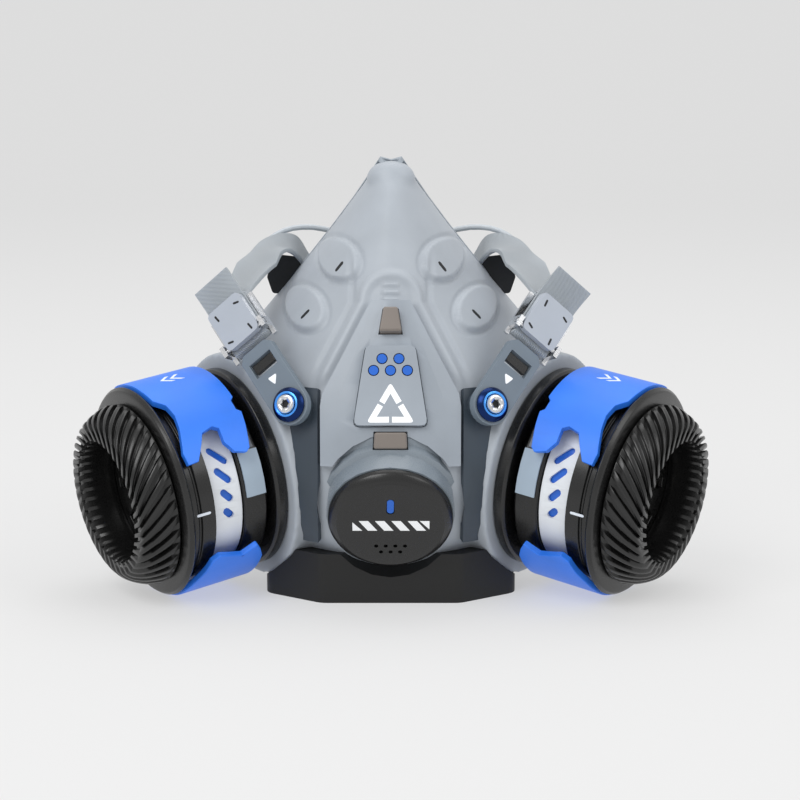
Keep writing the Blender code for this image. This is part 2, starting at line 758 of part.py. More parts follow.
def make_latch(name, housings, height, widths, length):
    """A push latch, with a well for it in every piece that it sits in."""
    spot = on_front(name + "_frame", height)
    outline = trapezoid(widths[0], widths[1], length)
    well = trapezoid(widths[0], widths[1], length, GAP)
    low = GAP + LATCH_TRAVEL + GAP
    latch = plate(name, outline, low, low + BODY_SKIN + 1.6 * MM, TAUPE, spot)
    edge = latch.modifiers.new("edge", "BEVEL")
    edge.width = 0.5 * MM
    edge.segments = 1
    hole = plate(name + "_well", well, -1 * MM, 14 * MM, TAUPE, spot)
    for housing in housings:
        combine(housing, hole)


# ---------------------------------------------------------------- exhaust
def make_exhaust():
    back = -COVER_THICKNESS - GAP
    steps = [(HOUSING_RADIUS, back), (HOUSING_RADIUS, back - 7 * MM)]
    steps += [(HOUSING_RADIUS + HOUSING_STEP, back - 8 * MM),
              (HOUSING_RADIUS + HOUSING_STEP, back - 11 * MM)]
    steps += [(HOUSING_OUTER, back - 12 * MM), (HOUSING_OUTER, back - HOUSING_LENGTH)]
    inner = OUTLET_RADIUS + OUTLET_WALL / 2
    housing = turned("exhaust_housing", [(inner, back)] + steps + [(inner, back - HOUSING_LENGTH)],
                     GLOSS_GREY, EXHAUST)
    combine(housing, face_block("housing_trim", GAP, 80 * MM))
    pipe = ring("outlet_pipe", OUTLET_RADIUS, OUTLET_OUTER, back - 24 * MM, back - 2 * MM,
                GLOSS_GREY, EXHAUST)
    combine(housing, pipe, "UNION")
    shell = 1.9 * MM
    skirt = COVER_RADIUS - 2 * MM
    profile = [(0, 0), (COVER_RADIUS - COVER_BEVEL, 0), (COVER_RADIUS, -COVER_BEVEL),
               (COVER_RADIUS, -COVER_THICKNESS), (skirt, -COVER_THICKNESS), (skirt, -shell),
               (0, -shell)]
    cover = turned("exhaust_cover", profile, BLACK_NYLON, EXHAUST, closed=False)
    pill = rounded([(-1.2 * MM, 5.4 * MM), (1.2 * MM, 5.4 * MM), (1.2 * MM, 11.4 * MM),
                    (-1.2 * MM, 11.4 * MM)], 1.1 * MM)
    well = rounded([(-1.5 * MM, 5.1 * MM), (1.5 * MM, 5.1 * MM), (1.5 * MM, 11.7 * MM),
                    (-1.5 * MM, 11.7 * MM)], 1.4 * MM)
    combine(cover, plate("cover_well", well, -3 * MM, 1 * MM, BLUE_INSERT, EXHAUST))
    plate("cover_insert", pill, -shell + 0.1 * MM, 0.1 * MM, BLUE_INSERT, EXHAUST)
    seat_top = back - 12 * MM
    seat = ring("exhalation_seat", OUTLET_RADIUS - 2.6 * MM, OUTLET_RADIUS - GAP,
                seat_top - 1.4 * MM, seat_top, GLOSS_GREY, EXHAUST)
    reach = 2 * OUTLET_RADIUS - 3 * MM
    for i, size in enumerate(((reach, 2 * MM, 1.2 * MM), (2 * MM, reach, 1.2 * MM))):
        spoke = box("seat_spoke_%d" % i, size, (0, 0, seat_top - (0.7 - 0.05 * i) * MM),
                    GLOSS_GREY, EXHAUST)
        combine(seat, spoke, "UNION")
    disc("exhalation_valve", OUTLET_RADIUS - 1.2 * MM, seat_top + GAP,
         seat_top + GAP + VALVE_THICKNESS, VALVE_SILICONE, EXHAUST)
    return housing


# ---------------------------------------------------------------- chin frame
def make_chin_frame():
    outline = rounded([
        (-0.55 * CHIN_HALF_WIDTH, CHIN_FRONT), (0.55 * CHIN_HALF_WIDTH, CHIN_FRONT),
        (CHIN_HALF_WIDTH, CHIN_FRONT + 14 * MM), (CHIN_HALF_WIDTH, CHIN_BACK - 12 * MM),
        (0.6 * CHIN_HALF_WIDTH, CHIN_BACK), (-0.6 * CHIN_HALF_WIDTH, CHIN_BACK),
        (-CHIN_HALF_WIDTH, CHIN_BACK - 12 * MM), (-CHIN_HALF_WIDTH, CHIN_FRONT + 14 * MM)],
        6 * MM)
    frame = plate("chin_frame", outline, 0, CHIN_HEIGHT, BLACK_NYLON, None)
    combine(frame, face_block("chin_clearance", GAP, 80 * MM))
    combine(frame, disc("chin_exhaust_clearance", HOUSING_OUTER + GAP, -60 * MM, 20 * MM,
                        BLACK_NYLON, EXHAUST))
    for side, port in PORTS.items():
        name = SIDE_NAMES[side]
        combine(frame, disc(name + "_chin_neck_clearance", NECK_RADIUS + GAP, -NECK_LENGTH - GAP,
                            80 * MM, BLACK_NYLON, port))


# ---------------------------------------------------------------- ports and filters
def make_port(side):
    name = SIDE_NAMES[side]
    axis = PORTS[side]
    outer = PORT_BORE + PORT_WALL
    web = -3 * MM
    profile = [
        (PORT_BORE, PORT_FLANGE), (PORT_FLANGE_RADIUS, PORT_FLANGE), (PORT_FLANGE_RADIUS, 0),
        (outer, 0), (outer, -PORT_TAIL), (PORT_BORE, -PORT_TAIL), (PORT_BORE, web - 1 * MM),
        (VALVE_SEAT_BORE, web - 1 * MM), (VALVE_SEAT_BORE, web), (PORT_BORE, web)]
    turned(name + "_port", profile, BLACK_NYLON, axis)
    ring(name + "_port_nut", outer + GAP, outer + 3.6 * MM, -PORT_TAIL + 0.5 * MM,
         -NECK_FLOOR - 2 * GAP, BLACK_NYLON, axis)
    top = web - 1 * MM - GAP
    disc(name + "_inhalation_valve", VALVE_SEAT_BORE + VALVE_OVERLAP, top - VALVE_THICKNESS,
         top, VALVE_SILICONE, axis)


def make_filter(side):
    name = SIDE_NAMES[side]
    axis = PORTS[side]
    gasket_low = PORT_FLANGE + GAP
    ring(name + "_filter_gasket", 18 * MM, 22 * MM, gasket_low, gasket_low + GASKET_THICKNESS,
         GASKET_RUBBER, axis)
    back = gasket_low + GASKET_THICKNESS + GAP
    front = back + BODY_LENGTH
    spigot = PORT_BORE - GAP
    groove = BAND_RADIUS - BAND_THICKNESS - LINER_THICKNESS - 2 * GAP
    groove_low = BAND_START - GAP
    groove_high = BAND_START + BAND_WIDTH + GAP
    inner = groove - BODY_WALL
    profile = [
        (inner, front), (BODY_RADIUS, front), (BODY_RADIUS, groove_high), (groove, groove_high),
        (groove, groove_low), (BODY_RADIUS - 1 * MM, groove_low), (BODY_RADIUS - 1 * MM, back),
        (spigot, back), (spigot, back - NECK_RING), (spigot - BODY_WALL, back - NECK_RING),
        (spigot - BODY_WALL, back + BODY_WALL), (inner, back + BODY_WALL)]
    turned(name + "_filter_body", profile, BLACK_NYLON, axis)
    disc(name + "_filter_media", inner - GAP, back + BODY_WALL + 2 * MM, front - 2 * MM,
         FILTER_FLEECE, axis)
    ring(name + "_band_liner", groove + GAP, groove + GAP + LINER_THICKNESS, BAND_START + 0.5 * MM,
         BAND_START + BAND_WIDTH - 0.5 * MM, BLUE_INSERT, axis)
    band = ring(name + "_band", BAND_RADIUS - BAND_THICKNESS, BAND_RADIUS, BAND_START,
                BAND_START + BAND_WIDTH, LIGHT_BAND, axis)
    cut_band_slots(band, side)
    cap_low = front + GAP
    cap_high = cap_low + CAP_THICKNESS
    ring_like = [(CAP_BORE, cap_high), (CAP_RADIUS - 1.6 * MM, cap_high),
                 (CAP_RADIUS, cap_high - 1 * MM), (CAP_RADIUS, cap_low), (CAP_BORE, cap_low)]
    turned(name + "_filter_cap", ring_like, BLACK_NYLON, axis)
    make_vent_ring(name, axis, cap_high + GAP)
    make_grille(name, axis, cap_low)
    make_clamps(side)
    label_radius = BODY_RADIUS - 1 * MM + GAP
    label = [(side * angle, height) for angle, height in
             rounded([(66, back + 0.8 * MM), (94, back + 0.8 * MM),
                      (94, groove_low - 0.8 * MM), (66, groove_low - 0.8 * MM)], 0.9 * MM, 1)]
    wrapped(name + "_label_plate", label, label_radius, 0.6 * MM, LABEL_GREY, axis)


def cut_band_slots(band, side):
    """Four slanted slots towards the viewer, each shorter than the one above it."""
    middle = BAND_START + BAND_WIDTH / 2
    for i, (angle, length) in enumerate(((64, 7.4), (77, 6.6), (90, 5.4), (102, 4.6))):
        turn = math.radians(side * angle)
        around = Vector((-BAND_RADIUS * math.sin(turn), BAND_RADIUS * math.cos(turn), middle))
        spot = axis_frame("slot_place", around, (around.x, around.y, 0), (0, 0, 1), band.parent)
        slant = bpy.data.objects.new("slot_slant", None)
        link(slant, PARTS, spot)
        slant.rotation_euler = (0, 0, side * math.radians(-58))
        half = length * MM / 2
        outline = rounded([(-1.2 * MM, -half), (1.2 * MM, -half), (1.2 * MM, half),
                           (-1.2 * MM, half)], 1.15 * MM)
        combine(band, plate("slot_%d" % i, outline, -2 * MM, 2 * MM, BLUE_INSERT, slant))


def make_vent_ring(name, axis, low):
    """A cone of swirling teeth: a ring of sections, each a loop round its wall."""
    high = low + RING_LENGTH
    outer = []
    rows = 2
    for i in range(rows + 1):
        share = i / rows
        outer.append((RING_BASE_RADIUS + (RING_RIM_RADIUS - RING_BASE_RADIUS) * share,
                      low + 0.8 * MM + (RING_LENGTH - 0.8 * MM) * share, share))
    verts = []
    count = 2 * RING_TEETH
    for j in range(count):
        tooth = RING_TOOTH_DEPTH if j % 2 == 0 else 0.0
        loop = [(CAP_BORE - 1 * MM, low, 0.0, 0.0), (RING_BASE_RADIUS, low, 0.0, 0.0)]
        loop += [(radius, height, share, tooth) for radius, height, share in outer]
        loop += [(RING_HOLE_RADIUS, high, 1.0, 0.0)]
        for radius, height, share, raised in loop:
            turn = math.tau * j / count + RING_SWIRL * share
            reach = radius + raised * 0.5
            verts.append((reach * math.cos(turn), reach * math.sin(turn), height + raised * 0.35))
    size = len(outer) + 3
    faces = []
    for j in range(count):
        here = j * size
        after = ((j + 1) % count) * size
        for k in range(size):
            following = (k + 1) % size
            faces.append((here + k, after + k, after + following, here + following))
    mesh = mesh_from(name + "_vent_ring", verts, faces)
    add_piece(name + "_vent_ring", mesh, BLACK_NYLON, axis)


def make_grille(name, axis, low):
    """A louvre disc in the cap's bore; the filter's air comes through its slots."""
    grille = disc(name + "_grille", CAP_BORE - GAP, low, low + GRILLE_THICKNESS, BLACK_NYLON, axis)
    for i in range(GRILLE_SLOTS):
        spot = bpy.data.objects.new("grille_place", None)
        link(spot, PARTS, axis)
        spot.rotation_euler = (0, 0, math.tau * i / GRILLE_SLOTS)
        slot = box("grille_slot_%d" % i, (11 * MM, 3.4 * MM, 6 * MM), (12.5 * MM, 0, low),
                   BLACK_NYLON, spot)
        combine(grille, slot)


def make_clamps(side):
    """The blue shells over the filter: stepped plates wrapped round its axis."""
    name = SIDE_NAMES[side]
    axis = PORTS[side]
    inner = CLAMP_RADIUS - CLAMP_THICKNESS
    low, high = CLAMP_START, CLAMP_END
    middle = (low + high) / 2
    upper = [(-62, low), (20, low), (30, low), (42, low), (54, low + 1 * MM), (66, low + 2 * MM),
             (66, low + 6 * MM), (60, low + 8.5 * MM), (52, middle - 3 * MM),
             (52, middle + 3 * MM), (60, middle + 5 * MM), (66, high - 5 * MM),
             (60, high - 1 * MM), (40, high - 3.4 * MM), (30, high - 3.4 * MM), (22, high),
             (-20, high), (-62, high)]
    wrapped(name + "_clamp_upper", [(side * angle, height) for angle, height in upper], inner,
            CLAMP_THICKNESS, BLUE_SHELL, axis)
    lower = [(122, low + 4 * MM), (132, low + 1 * MM), (196, low), (196, high),
             (150, high), (132, high - 4 * MM), (122, high - 6 * MM)]
    wrapped(name + "_clamp_lower", [(side * angle, height) for angle, height in lower], inner,
            CLAMP_THICKNESS, BLUE_SHELL, axis)


# ---------------------------------------------------------------- harness
def yoke_outer(height):
    share = (height - YOKE_FOOT) / (PIVOT_HEIGHT - YOKE_FOOT)
    return BODY_HALF + GAP + 6.5 * MM + 7 * MM * max(min(share, 1), 0)


def make_yoke(side):
    name = SIDE_NAMES[side] + "_yoke"
    inner_side = BODY_HALF + 3 * GAP
    if side > 0:
        edges = (lambda h: inner_side, yoke_outer)
    else:
        edges = (lambda h: -yoke_outer(h), lambda h: -inner_side)
    yoke = patch(name, YOKE_TOP, YOKE_FOOT, *edges, GAP, YOKE_THICKNESS, HARNESS_GREY,
                 rows=8, columns=3)
    boss = disc(name + "_boss", WASHER_RADIUS, -ARM_LIFT - YOKE_THICKNESS / 2, -GAP,
                HARNESS_GREY, ARMS[side], steps=16)
    combine(yoke, boss, "UNION")
    combine(yoke, disc(name + "_neck_clearance", NECK_RADIUS + GAP, -NECK_LENGTH, 2 * MM,
                       HARNESS_GREY, PORTS[side]))
    combine(yoke, disc(name + "_housing_clearance", HOUSING_OUTER + GAP, -60 * MM, 2 * MM,
                       HARNESS_GREY, EXHAUST))
    combine(yoke, disc(name + "_pilot", SCREW_RADIUS + GAP, -ARM_LIFT, 2 * MM, HARNESS_GREY,
                       ARMS[side], steps=16))


def make_arm(side):
    name = SIDE_NAMES[side]
    axis = ARMS[side]
    half = ARM_WIDTH / 2
    outline = [(half * math.cos(turn), half * math.sin(turn)) for turn in
               (math.radians(180 + 180 * i / 12) for i in range(13))]
    outline += [(half, ARM_LENGTH - 2 * MM), (half - 2 * MM, ARM_LENGTH),
                (-half + 2 * MM, ARM_LENGTH), (-half, ARM_LENGTH - 2 * MM)]
    arm = plate(name + "_arm", outline, 0, ARM_THICKNESS, HARNESS_GREY, axis)
    combine(arm, disc(name + "_arm_eye", SCREW_RADIUS + GAP, -1 * MM, 2 * ARM_THICKNESS,
                      HARNESS_GREY, axis, steps=16))
    window_y = 17.5 * MM
    combine(arm, box(name + "_window", (9.2 * MM, 5.4 * MM, 3 * ARM_THICKNESS),
                     (0, window_y, 0), HARNESS_GREY, axis))
    slider_y = window_y + 0.5 * MM
    box(name + "_release_slider", (8.5 * MM, 3.4 * MM, 1.8 * MM), (0, slider_y, 1.1 * MM),
        BLACK_NYLON, axis)
    low = ARM_THICKNESS + GAP
    cup = SCREW_RADIUS + 1.4 * MM
    washer = [(cup, low + 2.1 * MM), (cup + 0.8 * MM, low + 2.1 * MM),
              (WASHER_RADIUS, low + 0.6 * MM), (WASHER_RADIUS, low),
              (SCREW_RADIUS + GAP, low), (SCREW_RADIUS + GAP, low + 1 * MM), (cup, low + 1 * MM)]
    turned(name + "_pivot_washer", washer, ANODISED, axis, steps=16)
    head = low + 1 * MM + GAP
    screw = [(0, head + 2 * MM), (cup - GAP, head + 2 * MM), (cup - GAP, head),
             (SCREW_RADIUS, head), (SCREW_RADIUS, -ARM_LIFT + GAP), (0, -ARM_LIFT + GAP)]
    turned(name + "_pivot_screw", screw, STEEL, axis, closed=False, steps=12)


BUCKLE_FOOT = ARM_LENGTH + GAP
FRAME_LOW = -0.9 * MM
FRAME_HIGH = 0.3 * MM
FRAME_BAR = BUCKLE_FOOT + 3.4 * MM      # where the strap turns round the frame's bar
TAIL_LAYER = FRAME_HIGH + GAP + STRAP_THICKNESS / 2
BACK_LAYER = FRAME_LOW - GAP - STRAP_THICKNESS / 2
PLATE_LOW = TAIL_LAYER + STRAP_THICKNESS / 2 + 0.6 * MM
PIN_RADIUS = 0.8 * MM
PIN_Y = FRAME_BAR + 1 * MM
PIN_Z = PLATE_LOW + BUCKLE_PLATE_THICKNESS / 2


def make_buckle(side):
    name = SIDE_NAMES[side]
    axis = ARMS[side]
    half = BUCKLE_WIDTH / 2 + 0.7 * MM
    inside = STRAP_WIDTH / 2 + GAP
    top = BUCKLE_FOOT + BUCKLE_LENGTH
    outline = [(-half, BUCKLE_FOOT), (-inside, BUCKLE_FOOT), (-inside, FRAME_BAR),
               (inside, FRAME_BAR), (inside, BUCKLE_FOOT), (half, BUCKLE_FOOT), (half, top),
               (-half, top)]
    frame = plate(name + "_buckle_frame", outline, FRAME_LOW, FRAME_HIGH, STEEL, axis)
    ear = (half - inside, 4 * MM, PIN_Z + 1.6 * MM)
    for i, across in enumerate((-1, 1)):
        place = (across * (half + inside) / 2, PIN_Y, (FRAME_LOW + 0.1 * MM + PIN_Z + 1.6 * MM) / 2)
        size = (ear[0] - 0.02 * MM, ear[1], PIN_Z + 1.6 * MM - FRAME_LOW - 0.1 * MM)
        combine(frame, box("%s_ear_%d" % (name, i), size, place, STEEL, axis), "UNION")
    across_frame = axis_frame(name + "_buckle_hinge", (0, PIN_Y, PIN_Z), (1, 0, 0), (0, 0, 1), axis)
    bore = disc(name + "_buckle_bore", PIN_RADIUS + GAP, -12 * MM, 12 * MM, STEEL, across_frame,
                steps=16)
    combine(frame, bore)
    wide = BUCKLE_PLATE_WIDTH / 2
    low = PIN_Y - 1.3 * MM
    high = low + BUCKLE_PLATE_LENGTH
    cover = plate(name + "_buckle_plate",
                  rounded([(-wide, low), (wide, low), (wide, high), (-wide, high)], 2 * MM),
                  PLATE_LOW, PLATE_LOW + BUCKLE_PLATE_THICKNESS, BUCKLE_GREY, axis)
    combine(cover, bore)
    disc(name + "_buckle_pin", PIN_RADIUS, -half, half, STEEL, across_frame, steps=16)


def strap_sections(side):
    """The strap's middle line with its width direction at each point, in the arm's frame."""
    arm = ARMS[side]
    into_arm = arm.matrix_world.inverted()
    turn_in = into_arm.to_3x3()
    across = Vector((1, 0, 0))
    tail_end = BUCKLE_FOOT + BUCKLE_LENGTH + STRAP_TAIL
    middle = (TAIL_LAYER + BACK_LAYER) / 2
    bend = (TAIL_LAYER - BACK_LAYER) / 2
    line = [(Vector((0, tail_end, TAIL_LAYER + STRAP_LIFT[side])), across),
            (Vector((0, tail_end - 0.5 * STRAP_TAIL, TAIL_LAYER + 0.3 * STRAP_LIFT[side])), across),
            (Vector((0, tail_end - STRAP_TAIL, TAIL_LAYER)), across),
            (Vector((0, tail_end - STRAP_TAIL - 6 * MM, TAIL_LAYER)), across)]
    for turn in (math.radians(45 * i) for i in range(5)):
        line.append((Vector((0, FRAME_BAR - bend * math.sin(turn),
                             middle + bend * math.cos(turn))), across))
    line.append((Vector((0, BUCKLE_FOOT + BUCKLE_LENGTH, BACK_LAYER)), across))
    line.append((Vector((0, BUCKLE_FOOT + BUCKLE_LENGTH + 2 * MM, BACK_LAYER - 0.8 * MM)), across))
    behind = FACE_DEPTH / 2
    loop = [((47.5, -33, 110), (-0.45, 0.85, 0.25)), ((42, -22, 114.5), (-0.15, 0.98, 0.1)),
            ((35.5, -9.5, 112.5), (0, 0.98, 0.2)), ((31.5, 5, 104), (0.1, 0.85, 0.5)),
            ((25, 7.5, 94), (0.1, 0.4, 0.9)), ((14, 9.5, 89), (0, 0.1, 1)),
            ((1.2, 10, 88), (0, 0, 1))]
    for (x, back, z), (wx, wy, wz) in loop:
        spread = (STRAP_WIDTH - ROUTE_STRAP) / 2
        point = Vector((side * (x * MM * FACE_HALF_WIDTH / ROUTE_HALF_WIDTH + spread),
                        behind + back * MM,
                        FACE_LIFT + (z * MM - FACE_LIFT) * FACE_HEIGHT / ROUTE_HEIGHT))
        width = Vector((-side * wx, wy, wz)).normalized()
        line.append((into_arm @ point, turn_in @ width))
    return line


STRAP_LIFT = {-1: 0.6 * MM, 1: 3.5 * MM}


def make_strap(side):
    line = strap_sections(side)
    verts = []
    last = len(line) - 1
    previous = None
    for i, (point, width) in enumerate(line):
        along = (line[min(i + 1, last)][0] - line[max(i - 1, 0)][0]).normalized()
        width = (width - along * width.dot(along)).normalized()
        if previous is not None and width.dot(previous) < 0:
            width = -width
        previous = width
        out = along.cross(width)
        for a, b in ((-1, -1), (1, -1), (1, 1), (-1, 1)):
            verts.append(point + width * (a * STRAP_WIDTH / 2) + out * (b * STRAP_THICKNESS / 2))
    faces = [(0, 1, 2, 3), tuple(4 * last + k for k in (3, 2, 1, 0))]
    for i in range(last):
        here = 4 * i
        for k in range(4):
            following = (k + 1) % 4
            faces.append((here + k, here + following, here + 4 + following, here + 4 + k))
    name = SIDE_NAMES[side] + "_strap"
    add_piece(name, mesh_from(name, verts, faces), WEBBING, ARMS[side])


# ---------------------------------------------------------------- assembly
def stand_on_floor():
    """Parent everything to one empty and move it so the origin is under the object's middle.

    The two sides mirror each other, so only the depth and the height are shifted.
    """
    root = bpy.data.objects.new("respirator_origin", None)
    for obj in [*PARTS.objects, *CUTTERS.objects]:
        if obj.parent is None:
            obj.parent = root
    link(root, PARTS)
    bpy.context.view_layer.update()
    graph = bpy.context.evaluated_depsgraph_get()
    low = Vector((1, 1, 1))
    high = -low
    for obj in PARTS.objects:
        if obj.type == "EMPTY":
            continue
        evaluated = obj.evaluated_get(graph)
        mesh = evaluated.to_mesh()
        for vert in mesh.vertices:
            place = evaluated.matrix_world @ vert.co
            low = Vector(map(min, low, place))
            high = Vector(map(max, high, place))
        evaluated.to_mesh_clear()
    middle = (low + high) / 2
    root.location = (0, -middle.y, -low.z)
    bpy.context.view_layer.update()


bpy.context.view_layer.update()
make_facepiece()
make_face_seal()
make_front(make_exhaust())
make_chin_frame()
make_bow()
for either in (-1, 1):
    make_port(either)
    make_filter(either)
    make_yoke(either)
    make_arm(either)
    make_buckle(either)
    make_strap(either)
stand_on_floor()
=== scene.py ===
import math
import bmesh
import bpy
from mathutils import Matrix, Vector
from mathutils.bvhtree import BVHTree
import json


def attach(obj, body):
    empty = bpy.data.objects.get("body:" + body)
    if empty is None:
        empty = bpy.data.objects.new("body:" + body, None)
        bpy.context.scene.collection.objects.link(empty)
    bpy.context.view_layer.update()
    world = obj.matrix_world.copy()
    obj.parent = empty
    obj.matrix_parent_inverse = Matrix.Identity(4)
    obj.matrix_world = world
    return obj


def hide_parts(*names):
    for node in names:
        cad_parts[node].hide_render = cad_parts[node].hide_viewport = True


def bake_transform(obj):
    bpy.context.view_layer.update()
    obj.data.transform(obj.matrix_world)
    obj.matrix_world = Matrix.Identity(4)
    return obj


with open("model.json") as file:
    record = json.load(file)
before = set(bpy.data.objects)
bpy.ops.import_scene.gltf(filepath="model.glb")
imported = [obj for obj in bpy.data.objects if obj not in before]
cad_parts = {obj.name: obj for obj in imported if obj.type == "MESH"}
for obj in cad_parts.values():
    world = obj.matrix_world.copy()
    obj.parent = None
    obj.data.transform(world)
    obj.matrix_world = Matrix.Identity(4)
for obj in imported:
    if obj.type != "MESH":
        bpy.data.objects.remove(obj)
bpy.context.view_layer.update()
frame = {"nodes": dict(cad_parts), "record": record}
record = frame["record"]
nodes = frame["nodes"]
sides = {"left": -1, "right": 1}
mm = 0.001
bodyOf = {node: body for body, held in record["behaviour"]["bodies"].items() for node in held}


def linear(code):  # a hex colour as linear values
    values = [int(code[i:i + 2], 16) / 255 for i in (0, 2, 4)]
    return [v / 12.92 if v <= 0.04045 else ((v + 0.055) / 1.055) ** 2.4 for v in values] + [1.0]


def addNode(tree, kind, inputs=None, **settings):
    made = tree.nodes.new(kind)
    for key, value in settings.items():
        setattr(made, key, value)
    for key, value in (inputs or {}).items():
        if isinstance(value, bpy.types.NodeSocket):
            tree.links.new(value, made.inputs[key])
        else:
            made.inputs[key].default_value = value
    return made


def newMaterial(name, code, rough=0.4, metal=0.0, grain=0.35, relief=0.02, mottle=0.05, coat=0.0,
                edgeLift=0.12, sheen=0.0, weave=None, brushed=False):  # grain, relief and weave in mm
    made = bpy.data.materials.new(name)
    made.use_nodes = True
    tree = made.node_tree
    shader = tree.nodes["Principled BSDF"]
    where = addNode(tree, "ShaderNodeTexCoord").outputs["Object"]
    if brushed:
        where = addNode(tree, "ShaderNodeMapping", {"Vector": where, "Scale": (1, 1, 14)}).outputs[0]
    fine = addNode(tree, "ShaderNodeTexNoise", {
        "Vector": where, "Scale": 1000 / grain, "Detail": 3.0, "Roughness": 0.6})
    broad = addNode(tree, "ShaderNodeTexNoise", {"Vector": where, "Scale": 60.0, "Detail": 4.0})
    tint = addNode(tree, "ShaderNodeMapRange", {
        "Value": broad.outputs["Fac"], "From Min": 0.3, "From Max": 0.7,
        "To Min": 1 - mottle, "To Max": 1 + mottle})
    # convex edges, found by pointiness, drawn lighter
    edge = addNode(tree, "ShaderNodeMapRange", {
        "Value": addNode(tree, "ShaderNodeNewGeometry").outputs["Pointiness"],
        "From Min": 0.51, "From Max": 0.58, "To Min": 0.0, "To Max": edgeLift})
    bright = addNode(tree, "ShaderNodeMath", {
        0: tint.outputs[0], 1: edge.outputs[0]}, operation="ADD")
    colour = addNode(tree, "ShaderNodeVectorMath", {
        0: linear(code)[:3], "Scale": bright.outputs[0]}, operation="SCALE")
    tree.links.new(colour.outputs[0], shader.inputs["Base Color"])
    roughness = addNode(tree, "ShaderNodeMapRange", {
        "Value": fine.outputs["Fac"], "From Min": 0.3, "From Max": 0.7,
        "To Min": max(rough - 0.06, 0.05), "To Max": rough + 0.06})
    tree.links.new(roughness.outputs[0], shader.inputs["Roughness"])
    height = fine.outputs["Fac"]
    if weave:
        height = wovenHeight(tree, weave)
        # the weave's hollows are drawn darker than its ribs: painted shade
        shade = addNode(tree, "ShaderNodeMapRange", {"Value": height, "To Min": 0.62, "To Max": 1.08})
        woven = addNode(tree, "ShaderNodeVectorMath", {
            0: colour.outputs[0], "Scale": shade.outputs[0]}, operation="SCALE")
        tree.links.new(woven.outputs[0], shader.inputs["Base Color"])
    bump = addNode(tree, "ShaderNodeBump", {
        "Height": height, "Strength": 0.6, "Distance": relief / 1000})
    tree.links.new(bump.outputs[0], shader.inputs["Normal"])
    shader.inputs["Metallic"].default_value = metal
    shader.inputs["Coat Weight"].default_value = coat
    shader.inputs["Coat Roughness"].default_value = 0.2
    shader.inputs["Sheen Weight"].default_value = sheen
    made.diffuse_color = linear(code)
    return made


def wovenHeight(tree, pitch):  # ribs crossed by fine picks, on a UV in millimetres
    flat = addNode(tree, "ShaderNodeUVMap", uv_map="flat").outputs[0]
    turned = addNode(tree, "ShaderNodeMapping", {"Vector": flat, "Rotation": (0, 0, 0.9)}).outputs[0]
    ribs = addNode(tree, "ShaderNodeTexWave", {
        "Vector": turned, "Scale": 0.314 / pitch, "Distortion": 0.6, "Detail": 1.0})
    picks = addNode(tree, "ShaderNodeTexWave", {
        "Vector": flat, "Scale": 0.63 / pitch, "Distortion": 0.3}, bands_direction="Y")
    both = addNode(tree, "ShaderNodeMath", {
        0: ribs.outputs["Fac"], 1: picks.outputs["Fac"]}, operation="MULTIPLY")
    return addNode(tree, "ShaderNodeMath", {
        0: ribs.outputs["Fac"], 1: both.outputs[0]}, operation="ADD").outputs[0]


finishes = {
    # moulded silicone: soft, broad highlights
    "facepiece_silicone": newMaterial("facepieceSilicone", "a9b0b8", 0.46, grain=0.5, relief=0.015, sheen=0.15),
    "seal_silicone": newMaterial("sealSilicone", "98a0a8", 0.55),
    # moulded shells: a fine grain, with edges a little lighter
    "grey_shell": newMaterial("greyShell", "979fa8", 0.36, relief=0.012),
    "gloss_grey_shell": newMaterial("glossGreyShell", "808a93", 0.3, relief=0.006, coat=0.25),
    "harness_grey": newMaterial("harnessGrey", "6f7b86", 0.38, relief=0.01),
    "black_nylon": newMaterial("blackNylon", "131313", 0.3, relief=0.008, coat=0.15, edgeLift=0.35),
    "blue_shell": newMaterial("blueShell", "2c7af0", 0.42, relief=0.025, mottle=0.07),
    "blue_insert": newMaterial("blueInsert", "1f63c8", 0.3, grain=0.2),
    "light_band": newMaterial("lightBand", "dfe3e8", 0.32, relief=0.008),
    "label_grey": newMaterial("labelGrey", "9eaebd", 0.45, relief=0.006),
    "taupe_button": newMaterial("taupeButton", "7d756f", 0.38),
    "buckle_grey": newMaterial("buckleGrey", "aab1bb", 0.35),
    # brushed steel and anodised aluminium: tight, coloured highlights
    "stainless_steel": newMaterial("stainlessSteel", "d5d6d8", 0.24, metal=1.0, brushed=True),
    "anodised_blue": newMaterial("anodisedBlue", "2563b8", 0.22, metal=1.0, relief=0.004),
    # woven webbing: matt, with diagonal ribs
    "webbing": newMaterial("webbingGrey", "aeb6bd", 0.8, relief=0.25, weave=0.45, sheen=0.4),
    # coated wire, rubber and fleece
    "coated_wire": newMaterial("coatedWire", "b9c0c6", 0.25, relief=0.004, coat=0.3),
    "valve_silicone": newMaterial("valveSilicone", "c4bcab", 0.5),
    "gasket_rubber": newMaterial("gasketRubber", "272727", 0.7),
    "filter_fleece": newMaterial("filterFleece", "dcdcd6", 0.9, grain=0.8, relief=0.3),
}
# the chin frame in a black darker than black nylon: its black plastic, deepened by painted shade under the chin
shadedChinBlack = newMaterial("shadedChinBlack", "0b0b0b", 0.5, relief=0.006, edgeLift=0.1)
# the yokes in a slate darker than the harness grey: painted shade
shadedYokeSlate = newMaterial("shadedYokeSlate", "36404a", 0.42, relief=0.01)
white = newMaterial("printWhite", "f4f6f8", 0.45, relief=0.004)
# near-black for slots, socket bottoms, plate grooves and the strap loops' insides: painted shade
paintedShade = newMaterial("paintedShade", "15171a", 0.6)
ownFinish = {"left_yoke": shadedYokeSlate, "right_yoke": shadedYokeSlate, "chin_frame": shadedChinBlack}  # unlike their slots
print("materials", len(finishes))

# the CAD nodes' own slots, and copies with softened edges
slotOf = {part["node"]: part["material_slot"] for part in record["subparts"]}


